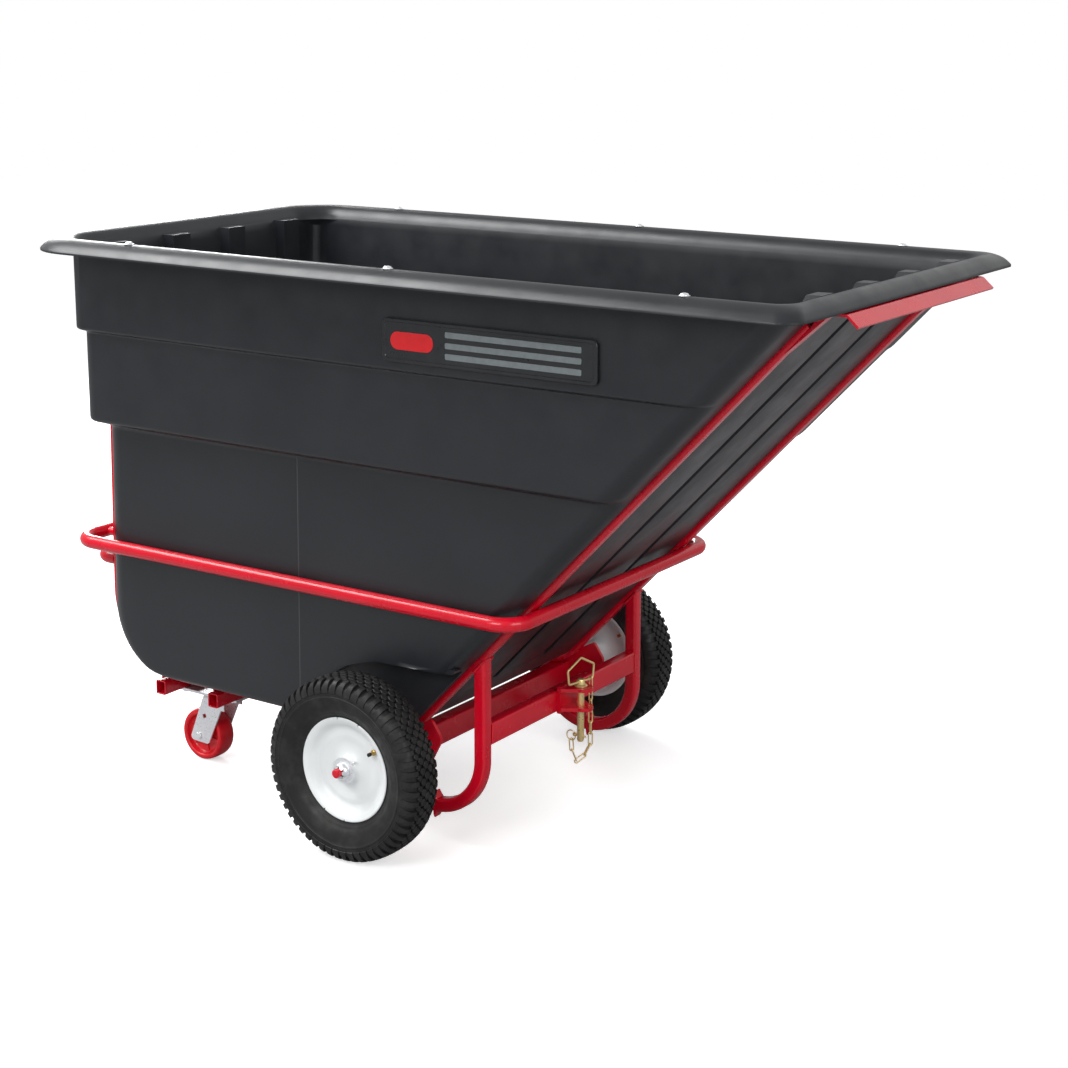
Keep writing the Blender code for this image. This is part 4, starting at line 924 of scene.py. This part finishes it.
def build_tyre(name, s):
    r = SEAT_R + 0.0012
    half = [
        (0.0225, r), (0.0265, r + 0.009), (0.0285, r + 0.015), (0.0322, 0.1225), (0.0352, 0.1262),
        (0.0362, 0.1285), (0.0392, 0.131), (0.043, 0.139), (0.047, 0.148), (0.05, 0.157),
        (0.0512, 0.1618), (0.0524, 0.1632), (0.0524, 0.1652), (0.0514, 0.1668), (0.052, 0.172),
        (0.0505, 0.178), (0.0468, 0.185), (0.041, 0.1905), (0.033, crown(0.033) - CARCASS - 0.0008),
        (0.02, crown(0.02) - CARCASS), (0.0, WHEEL_R - CARCASS)]
    inside = [(0.0, 0.187), (0.03, 0.183), (0.043, 0.168), (0.042, 0.15), (0.03, 0.128), (0.014, r)]
    profile = [(b, a) for a, b in half] + [(b, -a) for a, b in half[::-1][1:]]
    profile += [(b, -a) for a, b in inside[::-1]] + [(b, a) for a, b in inside[1:]]
    bm = lathe(profile, 144)
    pitch = 2 * pi * WHEEL_R / LUGS
    for k in range(LUGS):
        a = 2 * pi * k / LUGS
        step = pi / LUGS
        tread_block(bm, a, 0.0, pitch * 0.36, 0.0072)
        for v in (-1, 1):
            tread_block(bm, a + step, v * 0.0128, pitch * 0.36, 0.0066)
            tread_block(bm, a, v * 0.0235, pitch * 0.3, 0.005)
            shoulder_lug(bm, a + step, v, pitch)
    made = thing(f"tyre_lugged_{name}", bm, TYRE, 30)
    return place(made, f"wheel_{name}", (0, s * WHEEL_Y, AXLE_Z), f"tyre_{name}")


# ---- wheel discs and hubs
VALVE_AT = 0.083
VALVE_TURN = radians(35)


def build_disc(name, s):
    body, centre = f"wheel_{name}", (0, s * WHEEL_Y, AXLE_Z)

    def sided(points):
        return [(p, s * q) for p, q in points]

    out, inn = 0.031, -0.035
    w, t, seat, bore, tube, flange = 0.03, 0.003, 0.0165, 0.0135, 0.0235, 0.115
    face = [
        (tube - 0.0006, out), (tube, out - 0.0006), (0.024, 0.0265), (0.0262, 0.0215),
        (0.032, 0.0158), (0.04, 0.0118), (0.05, 0.0098), (0.06, 0.01), (0.068, 0.0118),
        (0.0745, 0.0112), (0.08, 0.0088), (0.086, 0.0085), (0.0925, 0.013), (0.0965, 0.0185),
        (SEAT_R - t, 0.0225)]
    rolled = [
        (0.1025, 0.0262), (0.1085, 0.0284), (flange - 0.0025, w), (flange - 0.0008, w - 0.0002),
        (flange, w - 0.0014), (flange - 0.0009, w - 0.003), (0.1085, 0.0258),
        (SEAT_R + 0.002, w - 0.0075), (SEAT_R, w - 0.0085)]
    back = [
        (SEAT_R, -w + 0.0085), (SEAT_R + 0.002, -w + 0.0075), (0.1085, -0.0258),
        (flange - 0.0009, -w + 0.003), (flange, -w + 0.0014), (flange - 0.0008, -w + 0.0002),
        (flange - 0.0025, -w), (0.1085, -0.0284), (0.1025, -0.0262), (SEAT_R - t, -0.02),
        (0.096, -0.012), (0.09, -0.003), (0.078, 0.001), (0.04, 0.001), (0.0275, -0.003),
        (tube, -0.009), (tube, inn), (seat, inn), (seat, inn + 0.0123), (bore, inn + 0.0123),
        (bore, out - 0.0123), (seat, out - 0.0123), (seat, out)]
    profile = sided(face + rolled + back)
    disc = thing(f"disc_pressed_{name}", lathe(profile, 128), WHITE, 50)
    spot = (VALVE_AT * cos(VALVE_TURN), 0, VALVE_AT * sin(VALVE_TURN))
    hole = turned([(0.0046, -0.03), (0.0046, 0.03)], 24, "Y")
    for v in hole.verts:
        v.co += Vector(spot)
    notches = []
    for angle in (1.22, 1.72, 4.2, 4.7):
        notch = box(-0.0015, 0.0015, *sorted((s * 0.024, s * 0.034)), -0.003, 0.004)
        turn = Matrix.Rotation(pi / 2 - angle, 4, "Y")
        for v in notch.verts:
            v.co = turn @ (v.co + Vector((0, 0, flange - 0.001)))
        notches.append(notch)
    cut(disc, [hole] + notches, "DIFFERENCE")
    place(disc, body, centre, f"wheel_disc_{name}")
    # valve: brass stem with a round collar, and a cap
    hub = Vector(centre) + Vector(spot)
    stem = [(0.004, -0.01), (0.004, 0.0108), (0.0062, 0.0112), (0.0062, 0.015), (0.0048, 0.0162),
            (0.0034, 0.0166), (0.0034, 0.0245), (0.003, 0.025)]
    stem = thing(f"valve_brass_{name}", turned(sided(stem), 24, "Y"), BRASS, 40)
    place(stem, body, hub, f"valve_stem_{name}")
    cap = [(0.004, 0.0235), (0.0042, 0.0245), (0.0042, 0.0305), (0.0036, 0.0312)]
    cap = thing(f"valve_cap_{name}", turned(sided(cap), 16, "Y"), CAP, 25)
    place(cap, body, hub)
    # zinc washer and push nut with bent teeth
    washer = [
        (AXLE_R + 0.0008, out + GAP), (0.028, out + GAP), (0.0282, out + 0.001),
        (0.0276, out + 0.0023), (0.0172, out + 0.0026), (0.015, out + 0.003),
        (AXLE_R + 0.0008, out + 0.003)]
    washer = thing(f"hub_washer_{name}", lathe(sided(washer), 64), BRIGHT, 40)
    place(washer, body, centre, f"push_nut_{name}")
    cap = [
        (0.0188, out + 0.0028), (0.0194, out + 0.0044), (0.0184, out + 0.009),
        (0.0164, out + 0.013), (0.0138, out + 0.0152), (0.0138, out + 0.014),
        (0.0152, out + 0.0126), (0.016, out + 0.004), (0.016, out + 0.0028)]
    cap = thing(f"push_nut_shell_{name}", lathe(sided(cap), 64), BRIGHT, 40)
    place(cap, body, centre)
    bm = bmesh.new()
    for k in range(6):
        a0 = 2 * pi * k / 6
        tooth = []
        for r, y, half in ((0.0142, out + 0.015, 0.4), (0.012, out + 0.0168, 0.36),
                           (AXLE_R + 0.0005, out + 0.0176, 0.3)):
            for d in (-half, half):
                tooth.append((r * cos(a0 + d), y, r * sin(a0 + d)))
        top = [bm.verts.new((x, s * y, z)) for x, y, z in tooth]
        low = [bm.verts.new((x, s * (y - 0.0009), z)) for x, y, z in tooth]
        for i in (0, 2):
            bm.faces.new((top[i], top[i + 1], top[i + 3], top[i + 2]))
            bm.faces.new((low[i + 2], low[i + 3], low[i + 1], low[i]))
            bm.faces.new((top[i], top[i + 2], low[i + 2], low[i]))
            bm.faces.new((top[i + 3], top[i + 1], low[i + 1], low[i + 3]))
        bm.faces.new((top[0], low[0], low[1], top[1]))
        bm.faces.new((top[4], top[5], low[5], low[4]))
    teeth = thing(f"push_nut_teeth_{name}", bm, BRIGHT, 30)
    place(teeth, body, centre)
    # grease fitting in the side of the hub tube
    fit = [(0.0042, 0.022), (0.0042, 0.0262), (0.0026, 0.027), (0.0022, 0.031), (0.003, 0.0325),
           (0.003, 0.0345), (0.0016, 0.0362)]
    fit = thing(f"grease_fitting_{name}", turned(fit, 20, "Z"), BRIGHT, 30)
    place(fit, body, Vector((0, s * (WHEEL_Y + 0.0265), AXLE_Z)), turn=(0, radians(50), 0))


for name, side in SIDES:
    build_tyre(name, side)
    build_disc(name, side)

axle = thing("axle_rod", turned([(AXLE_R - 0.0016, -AXLE_HALF), (AXLE_R, -AXLE_HALF + 0.0016),
                                 (AXLE_R, AXLE_HALF - 0.0016), (AXLE_R - 0.0016, AXLE_HALF)], 48,
                                 "Y"), RED, 30)
place(axle, "cart", (0, 0, AXLE_Z), "axle_shaft")

# ---- casters
PLATE_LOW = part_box("caster_plate_right")[0][2]
CROWN_TOP = PLATE_LOW - GAP - 0.007
LEG_T = 0.004
LEG_IN = CASTER_W / 2 + 0.004
LEG_OUT = LEG_IN + LEG_T


def hexagon(name, r, tall):
    bm = turned([(r - 0.0006, 0), (r, 0.0005), (r, tall - 0.0008), (r * 0.86, tall)], 6)
    return bevel(thing(name, bm, BRIGHT, 20), 0.0003, 2, 20)


def build_caster(name, side):
    y = side * CASTER_Y
    body = f"caster_swivel_{name}"
    # wheel: thick tread, rolled lip, dished web, spokes and hub
    w = CASTER_W / 2
    half = [
        (0.0066, 0.0282), (0.0142, 0.0282), (0.0158, 0.0268), (0.0165, 0.015), (0.019, 0.0118),
        (0.03, 0.0092), (0.042, 0.0094), (0.0472, 0.013), (0.0492, 0.0205), (0.0508, 0.0238),
        (0.054, w), (0.0585, w - 0.0004), (0.0615, w - 0.0032), (0.0629, w - 0.0085),
        (CASTER_R, 0.008)]
    profile = [(a, -b) for a, b in half] + [(a, b) for a, b in half[::-1]]
    wheel = thing(f"caster_moulding_{name}", lathe(profile, 96), CASTER_RED, 50)
    hub = (CASTER_X - CASTER_TRAIL, y, CASTER_R)
    place(wheel, f"caster_roller_{name}", hub, f"caster_wheel_{name}")
    for k in range(6):
        a = 2 * pi * k / 6 + 0.3
        for s in (-1, 1):
            rib = box(0.0165, 0.047, *sorted((s * 0.0088, s * 0.0122)), -0.0016, 0.0016)
            turn = Matrix.Rotation(a, 4, "Y")
            for v in rib.verts:
                v.co = turn @ v.co
            made = thing(f"caster_rib_{name}_{k}_{'a' if s < 0 else 'b'}", rib, CASTER_RED)
            place(bevel(made, 0.0008, 2, 40), f"caster_roller_{name}", hub)
    # fork: folded crown and raked legs with rounded feet
    top = CROWN_TOP
    bend = 0.005
    crown = [(-LEG_OUT, top - 0.03), (-LEG_OUT, top), (LEG_OUT, top), (LEG_OUT, top - 0.03)]
    outer = rounded([(0, a, b) for a, b in crown], [0, bend + LEG_T, bend + LEG_T, 0], 6)
    inner = [(-LEG_IN, top - 0.03), (-LEG_IN, top - LEG_T), (LEG_IN, top - LEG_T),
             (LEG_IN, top - 0.03)]
    inner = rounded([(0, a, b) for a, b in inner], [0, bend, bend, 0], 6)
    ring = [(p.y, p.z) for p in outer] + [(p.y, p.z) for p in inner[::-1]]
    bm = loft([[(x, a, b) for a, b in ring] for x in (-0.034, 0.034)])
    fork = thing(f"fork_pressed_{name}", bm, BRIGHT, 30)
    legs = []
    for s in (-1, 1):
        foot = CASTER_R - 0.016
        shape = [(-0.034, 0, top - 0.006), (0.034, 0, top - 0.006), (-CASTER_TRAIL + 0.03, 0, foot),
                 (-CASTER_TRAIL - 0.03, 0, foot + 0.003)]
        path = rounded(shape, [0.002, 0.002, 0.009, 0.009], 6, True)
        legs.append(prism_y([(p.x, p.z) for p in path], *sorted((s * LEG_IN, s * LEG_OUT))))
    for leg in legs:
        cut(fork, [leg], "UNION")
    cut(fork, [turned([(0.0305, top - 0.0012), (0.031, top + 0.001), (0.03, top + 0.004),
                       (0.025, top + 0.0064), (0.024, PLATE_LOW - GAP)], 48)], "UNION")
    square = box(-0.0055, 0.0055, -0.06, 0.06, -0.0048, 0.0048)
    turn = Matrix.Translation((-CASTER_TRAIL * 0.62, 0, 0.1165)) @ Matrix.Rotation(radians(-25), 4,
                                                                                   "Y")
    for v in square.verts:
        v.co = turn @ v.co
    cut(fork, [square], "DIFFERENCE")
    bevel(fork, 0.0005, 2, 40)
    place(fork, body, (CASTER_X, y, 0), f"caster_fork_{name}")
    # axle bolt with a hexagon nut on each side
    shaft = turned([(0.0058, -LEG_OUT - 0.004), (0.006, -LEG_OUT), (0.006, LEG_OUT + 0.006),
                    (0.0052, LEG_OUT + 0.007)], 24, "Y")
    place(thing(f"caster_axle_{name}", shaft, BRIGHT), body, hub, f"caster_axle_bolt_{name}")
    for s in (-1, 1):
        nut = hexagon(f"caster_nut_{name}_{'a' if s < 0 else 'b'}", 0.0092, 0.0048)
        place(nut, body, (CASTER_X - CASTER_TRAIL, y + s * (LEG_OUT + GAP), CASTER_R),
              turn=(-s * pi / 2, 0, 0))
    # four bolts through the top plate, outside the swivel
    for i, (dx, dy) in enumerate(((-0.0825, -0.038), (-0.0825, 0.038), (0.0705, -0.038),
                                  (0.0705, 0.038))):
        head = hexagon(f"plate_bolt_{name}_{i}", 0.0075, 0.005)
        place(head, "cart", (CASTER_X + dx, y + dy, PLATE_LOW - GAP), turn=(pi, 0, 0))
        wash = thing(f"plate_washer_{name}_{i}",
                     turned([(0.0098, -0.0011), (0.01, -0.0006), (0.01, 0.0)], 28), BRIGHT)
        place(wash, "cart", (CASTER_X + dx, y + dy, PLATE_LOW))


for name, side in SIDES:
    build_caster(name, side)
    plate = NODES[f"caster_plate_{name}"]
    bevel(plate, 0.001, 2, 40)

# ---- hitch: pin, handle, clip and chain
hitch_at = (PIN_X, 0, EAR_TOP)
PIN_R = 0.008
pin = [
    (0.0036, -0.131), (0.0062, -0.1302), (PIN_R, -0.1262), (PIN_R, GAP), (0.014, GAP),
    (0.015, 0.001), (0.015, 0.0028), (0.0138, 0.004), (0.0098, 0.0056), (0.0092, 0.014),
    (0.008, 0.0165), (0.0058, 0.0175)]
pin = thing("pin_turned", turned(pin, 48), YELLOW, 35)
place(pin, "hitch", hitch_at, "hitch_pin")
WIRE = 0.0025
WIRE_Z = 0.0105
BAIL = 0.038
bail = [(0, -BAIL, WIRE_Z), (0, BAIL, WIRE_Z), (0, BAIL + 0.004, WIRE_Z + 0.033),
        (0, 0, WIRE_Z + 0.056), (0, -BAIL - 0.004, WIRE_Z + 0.033)]
bail = thing("pin_bail", sweep(rounded(bail, 0.0055, 8, True), circle(WIRE, 20), (1, 0, 0),
                               closed=True), YELLOW)
place(bail, "hitch", hitch_at, "hitch_pin_handle", turn=(0, 0, -PIN_TURN))
CLIP_Z = -0.1175
CLIP_R = 0.0022
shank = turned([(0.001, 0.0152), (0.0018, 0.0146), (CLIP_R, 0.0125), (CLIP_R, -0.011),
                (0.004, -0.0118), (0.0044, -0.013), (0.0044, -0.0178), (0.0034, -0.0195),
                (0.002, -0.0202)], 28, "X")
shank = thing("clip_shank", shank, YELLOW)
place(shank, "hitch", Vector(hitch_at) + Vector((0, 0, CLIP_Z)), "hitch_clip")
loop = sweep([(p, 0, q) for p, q in circle(0.0115, 48)], circle(0.0014, 14), (0, -1, 0),
             closed=True)
place(thing("clip_loop", loop, YELLOW), "hitch",
      Vector(hitch_at) + Vector((-0.0255, 0, CLIP_Z - 0.0035)))


POWER_STEPS = 60


def long_axes(node):
    """Middle and the long, wide and thin directions of a chain link, from its own points."""
    pts = [v.co for v in NODES[node].data.vertices]
    mid = sum(pts, Vector()) / len(pts)
    spread = [p - mid for p in pts]
    axes = []
    for _ in range(2):
        axis = max(spread, key=lambda p: p.length).normalized()
        for _ in range(POWER_STEPS):
            axis = sum((p * p.dot(axis) for p in spread), Vector()).normalized()
        axes.append(axis)
        spread = [p - axis * p.dot(axis) for p in spread]
    way, wide = axes
    return mid, way, wide, wide.cross(way)


LINK_HALF_W = 0.0046
LINK_WIRE = 0.0016
LINK_SPAN = 0.0336 - 2 * LINK_WIRE
for node in sorted(n for n in NODES if n.startswith("chain_link")):
    mid, way, wide, thin = long_axes(node)
    straight = LINK_SPAN / 2 - LINK_HALF_W
    path = []
    for end in (1, -1):
        for k in range(13):
            t = radians(15 * k + (0 if end > 0 else 180))
            path.append((LINK_HALF_W * cos(t), end * straight + LINK_HALF_W * sin(t), 0))
    link = thing(node.replace("chain_link", "link_wire"),
                 sweep(path, circle(LINK_WIRE, 14), (0, 0, 1), closed=True), YELLOW, 70)
    link.matrix_world = Matrix.Translation(mid) @ Matrix((wide, way, thin)).transposed().to_4x4()
    bpy.context.view_layer.update()
    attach(link, "hitch")
    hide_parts(node)

# ---- plain marks on the badges
for name, side in SIDES:
    low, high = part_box(f"side_badge_{name}")
    spot = middle(f"side_badge_{name}")
    long = high[0] - low[0]
    x = spot.x - AXLE_X
    before, after = [((x + end * long / 2 - RIM_MID) / RIM_REACH) ** 2 for end in (-1, 1)]
    lean = RIM_BOW * (after - before) / long
    turn = -side * atan(lean)
    bulge = RIM_BOW * (1 - ((x - RIM_MID) / RIM_REACH) ** 2)
    face = side * (RIM_HALF - BAND1_IN + bulge - 0.0004 + 0.0045)
    origin = (x, face, spot.z)

    def mark(tag, u, v, w, h, r, mat):
        rings = []
        for grow, out in ((0.0, -0.0003), (0.0, 0.0008), (0.0005, 0.0012)):
            ring = rect(w - 2 * grow, h - 2 * grow, r - grow * 0.6, 6)
            rings.append([(u + p, side * out, v + q) for p, q in ring])
        made = thing(f"badge_{tag}_{name}", loft(rings), mat, 30)
        place(made, "cart", origin, turn=(0, 0, turn))

    start = -long / 2 if side < 0 else long / 2
    away = 1 if side < 0 else -1
    mark("pill", start + away * 0.076, 0.0, 0.11, 0.038, 0.0185, MARK_RED)
    for k in range(3):
        mark(f"bar_{k}", start + away * 0.326, 0.0225 - 0.0225 * k, 0.33, 0.0125, 0.003, MARK_GREY)
    bevel(NODES[f"side_badge_{name}"], 0.0012, 3, 35)

# rim bolts: domed heads on washers
for name, side in SIDES:
    for k in (1, 2, 3):
        node = f"rim_bolt_{name}_{k}"
        spot = middle(node)
        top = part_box(node)[1][2] - 0.006
        head = [
            (0.004, -0.022), (0.004, GAP), (0.0112, GAP), (0.0113, 0.0012), (0.0088, 0.0016),
            (0.0086, 0.0022), (0.0074, 0.0046), (0.0048, 0.0058), (0.001, 0.006)]
        bolt = thing(f"rim_bolt_domed_{name}_{k}", turned(head, 36), BRIGHT, 40)
        place(bolt, "cart", (spot.x - AXLE_X, spot.y, top), node)

for node in ("tow_clevis", "rim_lip_plate", "axle_hanger_right", "axle_hanger_left"):
    bevel(NODES[node], 0.0012, 3, 40)

# ---- floor, light and camera
floor = thing("floor", box(-14, 14, -14, 14, -0.05, -0.0005), None)
s = Shade("floor_pale")
seen = s.node("ShaderNodeLightPath").outputs["Is Camera Ray"]
tone = s.mix(s.patches(1.2, 3), (0.9, 0.9, 0.905), (0.93, 0.93, 0.93))
tone = s.mix(seen, (0.36, 0.36, 0.37), tone)
s.put(s.bsdf.inputs["Emission Color"], (1.0, 1.0, 1.0, 1))
s.put(s.bsdf.inputs["Emission Strength"], s.math("MULTIPLY", seen, 0.55))
floor.data.materials.append(s.set(colour=tone, rough=0.75, spec=0.2))

scene = bpy.context.scene
scene.view_settings.view_transform = "Standard"
world = bpy.data.worlds.new("studio")
scene.world = world
world.use_nodes = True
sky = world.node_tree.nodes["Background"]
sky.inputs["Color"].default_value = (1.0, 1.0, 1.0, 1)
seen = world.node_tree.nodes.new("ShaderNodeLightPath").outputs["Is Camera Ray"]
span = world.node_tree.nodes.new("ShaderNodeMapRange")
span.inputs["To Min"].default_value = 0.5
span.inputs["To Max"].default_value = 1.0
world.node_tree.links.new(seen, span.inputs["Value"])
world.node_tree.links.new(span.outputs["Result"], sky.inputs["Strength"])

TARGET = (0, 0, 0.7)
for name, at, width, height, power in (("key", (-3.0, -1.4, 4.2), 2.6, 2.6, 215),
                                       ("front", (0.2, -4.8, 3.2), 2.4, 1.8, 105),
                                       ("fill", (4.6, -2.0, 2.6), 2.4, 2.4, 80),
                                       ("back", (0.8, 4.6, 3.4), 4.0, 3.0, 20),
                                       ("rear", (-4.6, 3.1, 2.3), 1.8, 1.8, 140)):
    data = bpy.data.lights.new(name, "AREA")
    data.shape = "RECTANGLE"
    data.size, data.size_y = width, height
    data.energy = power
    lamp = bpy.data.objects.new(name, data)
    scene.collection.objects.link(lamp)
    lamp.location = at
    lamp.rotation_euler = (Vector(TARGET) - Vector(at)).to_track_quat("-Z", "Y").to_euler()

camera = bpy.data.cameras.new("camera")
camera.sensor_width = 36.0
camera.lens = 69.38
camera.shift_x = -0.0139
camera.shift_y = -0.2243
camera.clip_end = 100
eye = bpy.data.objects.new("camera", camera)
scene.collection.objects.link(eye)
eye.location = (2.7006 + AXLE_X, -3.7912, 1.8291)
YAW, PITCH, ROLL = 0.5881, 0.1405, -0.0033
eye.rotation_euler = Euler((pi / 2 - PITCH, ROLL, YAW), "XYZ")
scene.camera = eye
